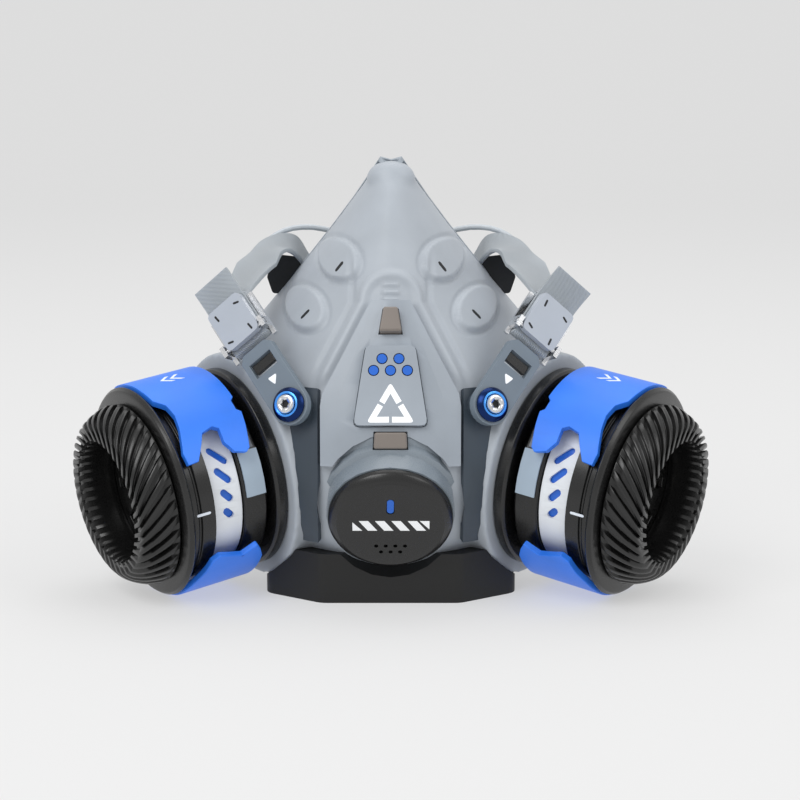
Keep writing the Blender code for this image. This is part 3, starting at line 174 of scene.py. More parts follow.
def place(obj, body, slotName, *replaced):
    if not obj.data.materials:
        obj.data.materials.append(finishes[slotName])
    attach(obj, body)
    if replaced:
        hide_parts(*replaced)
    return obj


def newPiece(name, mesh):
    obj = bpy.data.objects.new(name, mesh)
    bpy.context.scene.collection.objects.link(obj)
    return obj


def roundEdges(obj, width, segments, angle):  # width in mm
    edge = obj.modifiers.new("edge", "BEVEL")
    edge.width = width * mm
    edge.segments = segments
    edge.limit_method = "ANGLE"
    edge.angle_limit = math.radians(angle)
    edge.harden_normals = True


def shadeSharp(mesh, angle=30):
    mesh.shade_smooth()
    mesh.set_sharp_from_angle(angle=math.radians(angle))


def softened(node, width=0.25, segments=2, angle=32):
    shape = bmesh.new()
    shape.from_mesh(nodes[node].data)
    shape.transform(nodes[node].matrix_world)
    bmesh.ops.remove_doubles(shape, verts=shape.verts, dist=0.000004)
    bmesh.ops.dissolve_limit(shape, angle_limit=math.radians(1.5), verts=shape.verts, edges=shape.edges)
    mesh = bpy.data.meshes.new(node + "Soft")
    shape.to_mesh(mesh)
    shape.free()
    shadeSharp(mesh, angle)
    obj = newPiece(node + "Soft", mesh)
    roundEdges(obj, width, segments, angle)
    if node in ownFinish:
        obj.data.materials.append(ownFinish[node])
    return place(obj, bodyOf[node], slotOf[node], node)


for node, obj in nodes.items():
    obj.data.materials.clear()
    obj.data.materials.append(finishes[slotOf[node]])
remade = set()
joints = {j["name"]: j for j in record["behaviour"]["joints"]}


def axisFrame(origin, axis, upward):
    z = Vector(axis).normalized()
    y = Vector(upward)
    y = (y - z * y.dot(z)).normalized()
    x = y.cross(z)
    return Matrix.Translation(Vector(origin)) @ Matrix((x, y, z)).transposed().to_4x4()


portFrames = {s: axisFrame(joints[s + "_filter_twist"]["pos_m"], joints[s + "_filter_twist"]["axis"],
                           (0, 0, 1)) for s in sides}
armFrames = {s: axisFrame(joints[s + "_arm_swivel"]["pos_m"], joints[s + "_arm_swivel"]["axis"],
                          -Vector(joints[s + "_release_slide"]["axis"])) for s in sides}
exhaustFrame = axisFrame(joints["exhaust_cover_twist"]["pos_m"], joints["exhaust_cover_twist"]["axis"],
                         (0, 0, 1))


def finished(name, shape, turnInto, finish=None, sharp=30, edge=0.0, segments=2):
    bmesh.ops.recalc_face_normals(shape, faces=shape.faces)
    shape.transform(turnInto)
    mesh = bpy.data.meshes.new(name)
    shape.to_mesh(mesh)
    shape.free()
    shadeSharp(mesh, sharp)
    obj = newPiece(name, mesh)
    if finish:
        mesh.materials.append(finish)
    if edge:
        roundEdges(obj, edge, segments, sharp)
    return obj


def lathe(name, profile, turnInto, steps=112, closed=True, **more):
    shape = bmesh.new()
    verts = [shape.verts.new((r * mm, 0, t * mm)) for r, t in profile]
    pairs = list(zip(verts, verts[1:])) + ([(verts[-1], verts[0])] if closed else [])
    edges = [shape.edges.new(pair) for pair in pairs]
    bmesh.ops.spin(shape, geom=verts + edges, cent=(0, 0, 0), axis=(0, 0, 1), angle=math.tau,
                   steps=steps, use_merge=True)
    bmesh.ops.remove_doubles(shape, verts=shape.verts, dist=0.000002)
    return finished(name, shape, turnInto, **more)


# the facepiece: smooth rows, a wall, two necks, and its moulded relief
faceSettings = {
    "rows": 84, "columns": 96, "wall": 2.6, "voxel": 0.92, "height": 143, "half": 57, "depth": 90,
    "lift": 3.0, "forward": 1.03, "neck": 39.5, "neckWall": 3.4, "neckLength": 36, "floor": 3.6,
    "bosses": [(-17.8, 113.7), (-29.3, 96.9), (17.8, 113.7), (29.3, 96.9)], "boss": 7.3,
    "ribs": [102.2, 104.6, 107.0], "portHole": 16.4, "smooth": 8,
    "nose": (0, 11.3, 140.5), "noseRadii": (8.6, 6.8, 6.2),
    "sections": [
        (0.07, 0.986, 0.13, 1.000, 0.09, 1.70), (-0.03, 0.923, 0.18, 0.937, 0.19, 1.70),
        (-0.155, 0.818, 0.22, 0.832, 0.385, 1.70), (-0.29, 0.692, 0.32, 0.706, 0.63, 1.75),
        (-0.40, 0.552, 0.433, 0.573, 0.886, 2.20), (-0.478, 0.413, 0.50, 0.434, 1.00, 2.60),
        (-0.50, 0.287, 0.489, 0.294, 0.975, 2.80), (-0.467, 0.168, 0.422, 0.175, 0.86, 2.70),
        (-0.356, 0.063, 0.344, 0.084, 0.66, 2.40), (-0.133, 0.007, 0.278, 0.042, 0.42, 2.20),
        (0.133, 0.000, 0.233, 0.028, 0.19, 2.10)]}


def faceSection(s, row):
    held = s["sections"]
    where = min(max(row, 0.0), 1.0) * (len(held) - 1)
    low = min(int(where), len(held) - 2)
    t = where - low
    rows = [held[min(max(low + i, 0), len(held) - 1)] for i in (-1, 0, 1, 2)]
    v = []
    for a, b, c, d in zip(*rows):
        v.append((2 * t**3 - 3 * t**2 + 1) * b + (t**3 - 2 * t**2 + t) * (c - a) / 2
                 + (3 * t**2 - 2 * t**3) * c + (t**3 - t**2) * (d - b) / 2)
    ridge = Vector((0, v[0] * s["depth"] + s["forward"], s["lift"] + v[1] * s["height"]))
    edge = Vector((0, v[2] * s["depth"] + s["forward"], s["lift"] + v[3] * s["height"]))
    return ridge, edge, v[4] * s["half"], v[5]


def facePoint(s, row, turn):
    ridge, edge, half, fullness = faceSection(s, row)
    power = 2 / fullness
    point = edge + (ridge - edge) * max(math.cos(turn), 0.0) ** power
    return Vector((math.copysign(abs(math.sin(turn)) ** power, turn) * half, point.y, point.z))


def bump(distance, reach):  # 1 in the middle, 0 at reach
    t = min(abs(distance) / reach, 1.0)
    return (1 - t * t) ** 2


def step(value, low, high):
    t = min(max((value - low) / (high - low), 0.0), 1.0)
    return t * t * (3 - 2 * t)


def bodyHalf(z):
    return 5.6 + (22.5 - 5.6) * min(max((101 - z) / 31, 0.0), 1.0)


def relief(s, x, z):
    off = abs(x) - bodyHalf(z)
    high = 0.0
    if z < 101:
        high += 1.5 * bump(off - 3.6, 2.5) * step(z, 72, 79)
    else:
        high += 1.5 * bump(math.hypot(x, (z - 101)) - 9.2, 2.5) * step(118 - z, 0, 9)
    high -= 0.7 * bump(off - 7.4, 1.5) * step(z, 76, 84) * step(118 - z, 0, 10)
    for bx, bz in s["bosses"]:
        away = math.hypot(x - bx, (z - bz) * 1.12)
        high += 1.5 * (1 - step(away, s["boss"] - 0.6, s["boss"] + 0.3))
        high -= 0.5 * bump(away - s["boss"] - 1.0, 1.0)
    for rz in s["ribs"]:
        high += 1.0 * bump(z - rz, 0.95) * (1 - step(abs(x), 2.2, 3.2))
    return high


def voxelled(obj, voxel, smooth):
    remesh = obj.modifiers.new("remesh", "REMESH")
    remesh.mode = "VOXEL"
    remesh.voxel_size = voxel * mm
    soften = obj.modifiers.new("soften", "SMOOTH")
    soften.iterations = smooth
    soften.factor = 0.5
    applied(obj)


def applied(obj):
    bpy.context.view_layer.update()
    mesh = bpy.data.meshes.new_from_object(obj.evaluated_get(bpy.context.evaluated_depsgraph_get()))
    obj.modifiers.clear()
    obj.data = mesh


def cut(obj, tool, operation="DIFFERENCE"):
    boolean = obj.modifiers.new("cut", "BOOLEAN")
    boolean.operation = operation
    boolean.solver = "EXACT"
    boolean.object = tool
    applied(obj)
    bpy.data.objects.remove(tool, do_unlink=True)


def makeFacepiece(s):
    shape = bmesh.new()
    rows = []
    for i in range(s["rows"] + 1):
        rows.append([shape.verts.new(facePoint(s, i / s["rows"], math.radians(
            -90 + 180 * j / s["columns"])) * mm) for j in range(s["columns"] + 1)])
    for upper, lower in zip(rows, rows[1:]):
        for j in range(s["columns"]):
            shape.faces.new((upper[j], lower[j], lower[j + 1], upper[j + 1]))
    bmesh.ops.recalc_face_normals(shape, faces=shape.faces)
    middle = shape.faces[:][len(shape.faces) // 2]
    if middle.normal.y > 0:
        bmesh.ops.reverse_faces(shape, faces=shape.faces)
    mesh = bpy.data.meshes.new("facepieceSkin")
    shape.to_mesh(mesh)
    shape.free()
    face = newPiece("facepieceSkin", mesh)
    wall = face.modifiers.new("wall", "SOLIDIFY")
    wall.thickness = s["wall"] * mm
    wall.offset = -1.0
    applied(face)
    inside = []
    for side, sign in sides.items():
        outer = s["neck"]
        neck = [(0, 0), (outer, 0), (outer, -s["neckLength"]), (0, -s["neckLength"])]
        cut(face, lathe("neckOuter", neck, portFrames[side], closed=False), "UNION")
        hollow = outer - s["neckWall"]
        inside.append(lathe("neckInner", [(0, -s["floor"]), (hollow, -s["floor"]),
                            (hollow, -s["neckLength"] - 9), (0, -s["neckLength"] - 9)],
                            portFrames[side], closed=False))
    return face, inside


def makeRelief(face, inside, s):
    for hollow in inside:
        cut(face, hollow)
    for side in sides:
        hole = [(0, 1), (s["portHole"], 1), (s["portHole"], -9), (0, -9)]
        cut(face, lathe("portHole", hole, portFrames[side], closed=False))
    shape = bmesh.new()
    shape.from_mesh(face.data)
    bmesh.ops.create_uvsphere(shape, u_segments=32, v_segments=20, radius=1.0, matrix=Matrix.Translation(
        Vector(s["nose"]) * mm) @ Matrix.Diagonal((*(r * mm for r in s["noseRadii"]), 1)))
    shape.to_mesh(face.data)
    shape.free()
    voxelled(face, s["voxel"], s["smooth"])
    mesh = face.data
    outward = [(v.co.copy(), v.normal.copy()) for v in mesh.vertices]
    for vert, (co, normal) in zip(mesh.vertices, outward):
        if normal.y < -0.12 and co.z > 0.070 and abs(co.x) < 0.046:
            vert.co = co + normal * relief(s, co.x / mm, co.z / mm) * mm
    mesh.shade_smooth()
    bpy.context.view_layer.update()
    return face


faceObject, hollows = makeFacepiece(faceSettings)
facepiece = makeRelief(faceObject, hollows, faceSettings)
facepiece.data.materials.clear()
place(facepiece, "root", slotOf["facepiece"], "facepiece")
remade.add("facepiece")
print("facepiece", len(facepiece.data.polygons))

# round pieces of the filters and the exhaust, turned finely
portSettings = {
    "port": [(13, 4.5), (33.9, 4.5), (34.9, 3.7), (34.9, 0.9), (34.1, 0), (16, 0), (16, -9),
             (13, -9), (13, -4), (11.2, -4), (11.2, -3), (13, -3)],
    "filter_gasket": [(18, 6.0), (22, 6.0), (22, 4.8), (18, 4.8)],
    "filter_body": [(27.2, 35.9), (32.2, 35.9), (32.6, 35.4), (32.6, 33.0), (31.9, 32.6), (31.9, 32.0),
                    (32.6, 31.6), (32.6, 26.6), (28.3, 26.5), (28.3, 15.1), (31.2, 15.1),
                    (31.6, 14.6), (31.6, 7.0), (31.0, 6.3), (12.7, 6.3), (12.7, 1.1), (10.5, 1.1),
                    (10.5, 8.5), (27.2, 8.5)],
    "filter_cap": [(21.5, 38.6), (34.6, 38.6), (35.6, 38.2), (36.1, 37.5), (36.5, 37.1), (36.5, 36.8),
                   (36.1, 36.2), (21.5, 36.2)],
}
for side in sides:
    for part, profile in portSettings.items():
        node = side + "_" + part
        place(lathe(node + "Turned", profile, portFrames[side], finish=finishes[slotOf[node]], edge=0.25),
              bodyOf[node], slotOf[node], node)
        remade.add(node)
    liner = [(28.7, 15.9), (29.25, 15.9), (29.25, 25.7), (28.7, 25.7)]
    place(lathe(side + "LinerTurned", liner, portFrames[side], finish=finishes["blue_insert"]),
          bodyOf[side + "_band_liner"], "blue_insert", side + "_band_liner")
    remade.add(side + "_band_liner")
print("filters turned")

ventSettings = {"teeth": 38, "samples": 14, "rows": 12, "low": 38.9, "base": 31.2, "rim": 24.4,
                "hole": 20.3, "length": 11.0, "depth": 2.7, "swirl": 30, "foot": 1.0}


def makeVentRing(side, sign, s):
    shape = bmesh.new()
    count = s["teeth"] * s["samples"]
    loops = []
    for j in range(count):
        phase = (j % s["samples"]) / s["samples"]
        fin = step(0.5 - abs(phase - 0.5), 0.2, 0.3)
        path = [(20.6, 0.0, 0.0, 0.0), (s["base"] - 0.9, 0.0, 0.0, 0.0), (s["base"], 0.6, 0.0, 0.0)]
        for i in range(s["rows"] + 1):
            t = i / s["rows"]
            radius = s["base"] + (s["rim"] - s["base"]) * t ** 1.25
            height = s["foot"] + (s["length"] - s["foot"]) * math.sin(t * math.pi / 2) ** 0.9
            path.append((radius, height, t, fin * s["depth"]))
        for t in (0.3, 0.6, 0.75):
            path.append((s["rim"] - (s["rim"] - s["hole"]) * t, s["length"], 1.0 + 0.25 * t,
                         fin * s["depth"]))
        path.append((s["hole"] + 0.5, s["length"] - 0.4, 1.25, 0.0))
        path.append((s["hole"], s["length"] - 5.0, 1.25, 0.0))
        path.append((20.5, 1.0, 1.25, 0.0))
        loop = []
        for radius, height, share, raised in path:
            turn = math.tau * j / count + sign * math.radians(s["swirl"]) * share
            reach = radius + (raised * 0.75 - s["depth"] * 0.5 if 0 < share <= 1 else 0)
            loop.append(shape.verts.new((reach * math.cos(turn) * mm, reach * math.sin(turn) * mm,
                                         (s["low"] + height + raised * 0.5 * min(share, 1)) * mm)))
        loops.append(loop)
    for j in range(count):
        here, after = loops[j], loops[(j + 1) % count]
        for k in range(len(here)):
            n = (k + 1) % len(here)
            shape.faces.new((here[k], after[k], after[n], here[n]))
    node = side + "_vent_ring"
    place(finished(node + "Fins", shape, portFrames[side], finish=finishes["black_nylon"], sharp=48),
          bodyOf[node], slotOf[node], node)
    remade.add(node)


for side, sign in sides.items():
    makeVentRing(side, sign, ventSettings)
print("vent rings")

coverSettings = {
    "exhaust_cover": [(0, 0), (15.6, 0), (18.0, -0.25), (18.6, -0.7), (19.2, -1.0), (20.5, -2.4),
                      (20.8, -3.0), (20.8, -4.6), (18.8, -4.6), (18.8, -1.9), (0, -1.9)],
}


def bladed(name, outlines, turnInto, low, high, finish, edge=0.15, sharp=30):
    shape = bmesh.new()
    for outline in outlines:
        bottom = [shape.verts.new((x * mm, y * mm, low * mm)) for x, y in outline]
        top = [shape.verts.new((x * mm, y * mm, high * mm)) for x, y in outline]
        shape.faces.new(top)
        shape.faces.new(bottom[::-1])
        for i in range(len(outline)):
            k = (i + 1) % len(outline)
            shape.faces.new((bottom[i], bottom[k], top[k], top[i]))
    return finished(name, shape, turnInto, finish=finish, edge=edge, sharp=sharp)


def roundHole(x, y, radius, steps=20):
    return [(x + radius * math.cos(math.tau * i / steps), y + radius * math.sin(math.tau * i / steps))
            for i in range(steps)]


def makeCover(s):
    cover = lathe("exhaustCoverTurned", s["exhaust_cover"], exhaustFrame, closed=False,
                  finish=finishes["black_nylon"])
    pill = [(1.2 * math.cos(math.radians(a)), (10.2 if a < 180 else 6.6) + 1.2 * math.sin(math.radians(a)))
            for a in range(0, 360, 20)]
    cut(cover, bladed("pillWell", [[(x * 1.2, 8.4 + (y - 8.4) * 1.08) for x, y in pill]], exhaustFrame,
                      -0.9, 1.0, finishes["black_nylon"], edge=0))
    holes = [roundHole(-4.8 + 3.2 * i, -9.2, 0.7) for i in range(4)]
    holes += [roundHole(-3.2 + 3.2 * i, -11.9, 0.7) for i in range(3)]
    cut(cover, bladed("ventHoles", holes, exhaustFrame, -1.2, 1.0, finishes["black_nylon"], edge=0))
    shadeSharp(cover.data)
    place(cover, "exhaust_cover", "black_nylon", "exhaust_cover")
    place(bladed("coverPill", [pill], exhaustFrame, -0.88, -0.1, finishes["blue_insert"]),
          "exhaust_cover", "blue_insert", "cover_insert")
    width, height, lean = 3.1, 4.3, 3.0
    marks = []
    for i in range(4):
        left = -11.1 + i * 5.4 + 0.6
        marks.append([(left + lean, -height / 2), (left + lean + width, -height / 2),
                      (left + width, height / 2), (left, height / 2)])
    marks.append([(-12.6, -height / 2), (-9.4, -height / 2), (-12.6, height / 2 - 0.6)])
    marks.append([(12.9, height / 2), (9.7, height / 2), (12.9, -height / 2 + 0.6)])
    place(bladed("coverStripes", marks, exhaustFrame, 0.0, 0.06, white, edge=0),
          "exhaust_cover", "light_band")
    remade.update(("exhaust_cover", "cover_insert"))


makeCover(coverSettings)
print("exhaust cover")


def skinOf(obj):  # to set small parts on
    shape = bmesh.new()
    shape.from_mesh(obj.data)
    shape.transform(obj.matrix_world)
    tree = BVHTree.FromBMesh(shape)
    shape.free()
    return tree


def seated(tree, start, direction, upward):  # Z along the surface normal
    point, normal = tree.ray_cast(Vector(start), Vector(direction).normalized())[:2]
    if point is None:
        raise ValueError("no surface under %s" % (tuple(start),))
    if normal.dot(Vector(direction)) > 0:
        normal = -normal
    return axisFrame(point, normal, upward)


def bar(width, length, angle=0.0, x=0.0, y=0.0, ends=5):
    radius, reach = width / 2, max(length / 2 - width / 2, 0.0)
    outline = []
    for i in range(2 * ends):
        turn = math.pi * (i % ends) / (ends - 1) + (math.pi if i >= ends else 0)
        outline.append((radius * math.cos(turn), (reach if i < ends else -reach) + radius * math.sin(turn)))
    c, s = math.cos(math.radians(angle)), math.sin(math.radians(angle))
    return [(x + a * c - b * s, y + a * s + b * c) for a, b in outline]


def roundedShape(corners, radius, steps=4):
    outline = []
    for i, corner in enumerate(corners):
        here = Vector(corner)
        back = (Vector(corners[i - 1]) - here).normalized()
        ahead = (Vector(corners[(i + 1) % len(corners)]) - here).normalized()
        reach = radius / math.tan(back.angle(ahead) / 2)
        a, b = here + back * reach, here + ahead * reach
        for k in range(steps + 1):
            t = k / steps
            outline.append(tuple((1 - t) ** 2 * a + 2 * t * (1 - t) * here + t * t * b))
    return outline


faceSkin = skinOf(facepiece)
slotSettings = {"width": 1.6, "length": 4.4,  # places are (x, z, lean)
                "places": [(-17.7, 111.8, -24), (-29.4, 95.7, -24), (17.7, 111.8, 24), (29.4, 95.7, 24)]}
# each boss slot is a dark piece set into the surface, not cut: painted shade
for i, (x, z, lean) in enumerate(slotSettings["places"]):
    spot = seated(faceSkin, (x * mm, -0.2, z * mm), (0, 1, 0), (0, 0, 1))
    slot = bar(slotSettings["width"], slotSettings["length"], lean)
    place(bladed("bossSlotShade%d" % i, [slot], spot, -0.7, 0.04, paintedShade, edge=0.1), "root", "black_nylon")
print("boss slots")

# the front panel's outlined triangle, in three strokes with gaps between them
panelSettings = {"origin": (0, -0.037997, 0.0745), "normal": (0, -0.93352, 0.35852)}
panelFrame = axisFrame(panelSettings["origin"], panelSettings["normal"], (0, 0, 1))
panelSkin = skinOf(nodes["front_panel"])
triangleSettings = {"middle": -5.8, "half": 7.9, "height": 13.6, "stroke": 2.0, "gap": 0.5}


def makeTriangle(s):
    top = panelFrame.to_3x3() @ Vector((0, 0, 1))
    spot = seated(panelSkin, panelFrame @ Vector((0, (s["middle"] - 4.6) * mm, 0.02)), -top, (0, 0, 1))
    lift = (panelFrame.inverted() @ spot.translation).z / mm
    low, high = s["middle"] - s["height"] / 2, s["middle"] + s["height"] / 2
    corners = [Vector((-s["half"], low)), Vector((s["half"], low)), Vector((0, high))]
    centre = sum(corners, Vector((0, 0))) / 3
    strokes = []
    for i in range(3):
        here, before, after = corners[i], corners[i - 1], corners[(i + 1) % 3]
        inner = centre + (here - centre) * (1 - 2.9 * s["stroke"] / s["height"])
        ends = []
        for other in (before, after):
            along = (other - here).normalized()
            reach = (other - here).length / 2 - s["gap"]
            square = Vector((-along.y, along.x))
            if square.dot(centre - here) < 0:
                square = -square
            ends.append((here + along * reach, here + along * reach + square * s["stroke"]))
        arc = []
        a = here + (before - here).normalized() * 1.5
        b = here + (after - here).normalized() * 1.5
        for k in range(6):
            t = k / 5
            arc.append((1 - t) ** 2 * a + 2 * t * (1 - t) * here + t * t * b)
        strokes.append([tuple(p) for p in [ends[0][0]] + arc + [ends[1][0], ends[1][1], inner, ends[0][1]]])
    place(bladed("panelTriangle", strokes, panelFrame, lift - 0.1, lift + 0.07, white, edge=0),
          "root", "light_band")


makeTriangle(triangleSettings)
print("panel triangle")

# harness hardware
deepBlue = newMaterial("deepAnodisedBlue", "122a5c", 0.25, metal=0.85, relief=0.004)
# a lighter copy of the anodised blue, for a painted highlight
highlightBlue = newMaterial("paintedHighlightBlue", "4b9bf5", 0.25, metal=0.6, relief=0.004)
washerProfile = [(3.6, 5.3), (4.1, 5.4), (4.6, 5.2), (5.6, 4.2), (5.8, 3.9), (5.8, 3.3), (2.5, 3.3),
                 (2.5, 4.3), (3.6, 4.3)]
screwProfile = [(0, 6.4), (2.6, 6.4), (3.0, 6.2), (3.2, 5.8), (3.3, 4.6), (2.2, 4.6), (2.2, -2.6), (0, -2.6)]
# dark bars set into each buckle plate, standing for recessed marks: painted shade
plateGrooveShade = [bar(0.75, 2.7, 8, -4.3, 5.0), bar(0.75, 2.7, 8, 4.3, -5.0),
              bar(0.75, 2.4, 70, -4.6, -5.0), bar(0.75, 2.4, 70, 4.6, 5.0)]
for side, sign in sides.items():
    arm = armFrames[side]
    upward = arm.to_3x3() @ Vector((0, 1, 0))
    outward = arm.to_3x3() @ Vector((0, 0, 1))
    place(lathe(side + "WasherTurned", washerProfile, arm, steps=64, finish=deepBlue), "root",
          "anodised_blue", side + "_pivot_washer")
    # a ring on each washer's crest in the lighter blue: painted highlight
    place(lathe(side + "WasherHighlight", [(3.5, 5.42), (3.9, 5.62), (4.25, 5.5), (4.25, 5.2), (3.5, 5.2)], arm,
                steps=64, finish=highlightBlue), "root", "anodised_blue")
    screw = lathe(side + "ScrewTurned", screwProfile, arm, steps=48, closed=False,
                  finish=finishes["stainless_steel"])
    socket = [(1.65 * math.cos(math.radians(30 * i)) * (1.0 if i % 2 else 0.8),
               1.65 * math.sin(math.radians(30 * i)) * (1.0 if i % 2 else 0.8)) for i in range(12)]
    cut(screw, bladed("socketTool", [socket], arm, 5.0, 8.0, paintedShade, edge=0))
    place(screw, "root", "stainless_steel", side + "_pivot_screw")
    # a dark disc at the bottom of the hex socket: painted shade
    place(bladed(side + "SocketShade", [roundHole(0, 0, 1.5)], arm, 4.9, 5.1, paintedShade, edge=0), "root",
          "black_nylon")
    remade.update((side + "_pivot_washer", side + "_pivot_screw"))
    armSkin = skinOf(nodes[side + "_arm"])
    spot = seated(armSkin, arm @ Vector((0, 0.0112, 0.02)), -outward, upward)
    lean = Matrix.Rotation(sign * math.radians(38.6), 2)
    point = roundedShape([lean @ Vector(p) for p in (
        (sign * 1.9, 0), (-sign * 1.3, sign * 2.0), (-sign * 1.3, -sign * 2.0))], 0.5)
    place(bladed(side + "ArmArrow", [point], spot, -0.05, 0.05, white, edge=0),
          side + "_harness_arm", "light_band")
    coverSkin = skinOf(nodes[side + "_buckle_plate"])
    spot = seated(coverSkin, arm @ Vector((0, 0.0353, 0.02)), -outward, upward)
    # the plate's dark bars, painted shade
    place(bladed(side + "PlateGrooveShade", plateGrooveShade, spot, -0.4, 0.03, paintedShade, edge=0),
          side + "_buckle_plate", "black_nylon")
print("harness hardware")

# straps: webbing threaded through each buckle, round the frame's bar and back behind the face
strapSettings = {
    "width": 15.0, "thick": 1.35, "foot": 24.8, "length": 17.6, "tail": 12.0, "bar": 28.2,
    "tailLayer": 1.3, "backLayer": -1.9, "lift": {"left": 0.6, "right": 3.5}, "per": 8,
    "loop": [((47.5, -33, 110), (-0.45, 0.85, 0.25)), ((42, -22, 114.5), (-0.15, 0.98, 0.1)),
             ((35.5, -9.5, 112.5), (0, 0.98, 0.2)), ((31.5, 5, 104), (0.1, 0.85, 0.5)),
             ((25, 7.5, 94), (0.1, 0.4, 0.9)), ((14, 9.5, 89), (0, 0.1, 1)), ((1.2, 10, 88), (0, 0, 1))]}


def strapPath(side, sign, s):  # middle points and width directions, in mm
    arm = armFrames[side]
    turn = arm.to_3x3()
    end = s["foot"] + s["length"]
    middle = (s["tailLayer"] + s["backLayer"]) / 2
    bend = (s["tailLayer"] - s["backLayer"]) / 2
    lift = s["lift"][side]
    local = [(end + s["tail"], s["tailLayer"] + lift), (end + s["tail"] / 2, s["tailLayer"] + 0.3 * lift),
             (end, s["tailLayer"]), (end - 6, s["tailLayer"])]
    local += [(s["bar"] - bend * math.sin(math.radians(45 * i)),
               middle + bend * math.cos(math.radians(45 * i))) for i in range(5)]
    local += [(end, s["backLayer"]), (end + 2, s["backLayer"] - 0.8)]
    path = [((arm @ Vector((0, y * mm, z * mm))) / mm, turn @ Vector((1, 0, 0))) for y, z in local]
    for (x, back, z), (wx, wy, wz) in s["loop"]:
        path.append((Vector((sign * x, 45 + back + faceSettings["forward"], z)),
                     Vector((-sign * wx, wy, wz)).normalized()))
    return path


def smoothed(path, per):
    out = []
    last = len(path) - 1
    for i in range(last):
        a, b, c, d = (path[min(max(i + k, 0), last)] for k in (-1, 0, 1, 2))
        for n in range(per):
            t = n / per
            point = (b[0] * 2 + (c[0] - a[0]) * t + (a[0] * 2 - b[0] * 5 + c[0] * 4 - d[0]) * t * t
                     + (b[0] * 3 - a[0] - c[0] * 3 + d[0]) * t ** 3) / 2
            width = b[1] if b[1].dot(c[1]) > 0 else -b[1]
            out.append((point, width.lerp(c[1], t)))
    out.append(path[-1])
    return out


def makeStrap(side, sign, s):
    line = strapPath(side, sign, s)
    fixed = [line[0]]
    for point, width in line[1:]:
        fixed.append((point, width if width.dot(fixed[-1][1]) > 0 else -width))
    line = smoothed(fixed, s["per"])
    shape = bmesh.new()
    flat = shape.loops.layers.uv.new("flat")
    ring = [(-1, -0.35), (-0.985, -1), (-0.5, -1), (0, -1), (0.5, -1), (0.985, -1), (1, -0.35), (1, 0.35),
            (0.985, 1), (0.5, 1), (0, 1), (-0.5, 1), (-0.985, 1), (-1, 0.35)]
    rows, marks, run = [], [], 0.0
    for i, (point, width) in enumerate(line):
        before, after = line[max(i - 1, 0)][0], line[min(i + 1, len(line) - 1)][0]
        run += (point - before).length if i else 0.0
        along = (after - before).normalized()
        width = (width - along * width.dot(along)).normalized()
        out = along.cross(width)
        rows.append([shape.verts.new((point + width * (a * s["width"] / 2)
                                      + out * (b * s["thick"] / 2)) * mm) for a, b in ring])
        marks.append(run)
    count = len(ring)
    for i in range(len(rows) - 1):
        for k in range(count):
            n = (k + 1) % count
            face = shape.faces.new((rows[i][k], rows[i][n], rows[i + 1][n], rows[i + 1][k]))
            for loop, (r, c) in zip(face.loops, ((i, k), (i, n), (i + 1, n), (i + 1, k))):
                loop[flat].uv = (ring[c][0] * s["width"] / 2, marks[r])
    for row in (rows[0], rows[-1][::-1]):
        face = shape.faces.new(row)
        for loop in face.loops:
            loop[flat].uv = (0, 0)
    obj = finished(side + "Webbing", shape, Matrix.Identity(4), finish=finishes["webbing"], sharp=60)
    node = side + "_strap"
    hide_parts(node)
    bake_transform(obj)
    remade.add(node)
    print(side, "strap length mm", round(marks[-1], 1))


for side, sign in sides.items():
    makeStrap(side, sign, strapSettings)

# the filters' bands, clamps and printed marks, and a grey patch on each black body that is a painted reflection
clampSettings = {"inner": 34.9, "outer": 37.25, "edge": 0.55}
bandSettings = {"profile": [(29.5, 15.4), (30.2, 15.4), (30.4, 15.6), (30.4, 26.0), (30.2, 26.2), (29.5, 26.2)],
                "outer": 30.4, "middle": 20.8, "slot": 2.5, "slant": 48,
                "slots": ((64, 8.4), (77, 7.4), (90, 5.8), (102, 4.9))}  # (degrees, length)
markSettings = {"chevronTurn": 6, "chevronOut": 37.22, "chevronHeights": (19.8, 23.4), "indexTurn": 96,
                "indexOut": 32.6, "indexHeight": 31.0, "block": [(58, 8), (65, 8), (65, 14), (58, 14)],
                "blockInner": 31.4, "blockOuter": 32.2}


def wrappedPiece(name, outline, inner, outer, turnInto, finish, sign, cell=3.0, edge=0.3):  # (degrees, height)
    shape = bmesh.new()
    corners = [shape.verts.new((sign * angle, height, 0)) for angle, height in outline]
    shape.faces.new(corners)
    angles = [sign * angle for angle, height in outline]
    low, high = min(angles), max(angles)
    cuts = int((high - low) / cell)
    for i in range(1, cuts + 1):
        where = low + (high - low) * i / (cuts + 1)
        bmesh.ops.bisect_plane(shape, geom=shape.verts[:] + shape.edges[:] + shape.faces[:],
                               plane_co=(where, 0, 0), plane_no=(1, 0, 0))
    made = bmesh.ops.extrude_face_region(shape, geom=shape.faces[:])["geom"]
    tops = {v for v in made if isinstance(v, bmesh.types.BMVert)}
    for vert in shape.verts:
        radius = outer if vert in tops else inner
        turn = math.radians(vert.co.x)
        vert.co = Vector((-radius * math.sin(turn), radius * math.cos(turn), vert.co.y)) * mm
    return finished(name, shape, turnInto, finish=finish, edge=edge, sharp=38)


def onCylinder(port, sign, angle, radius, height):  # Z outward, Y along the filter's axis
    turn = math.radians(sign * angle)
    out = Vector((-math.sin(turn), math.cos(turn), 0))
    point = port @ (out * radius * mm + Vector((0, 0, height * mm)))
    return axisFrame(point, port.to_3x3() @ out, port.to_3x3() @ Vector((0, 0, 1)))


markPaint = newMaterial("markPaint", "dfe6f0", 0.5, relief=0.004)
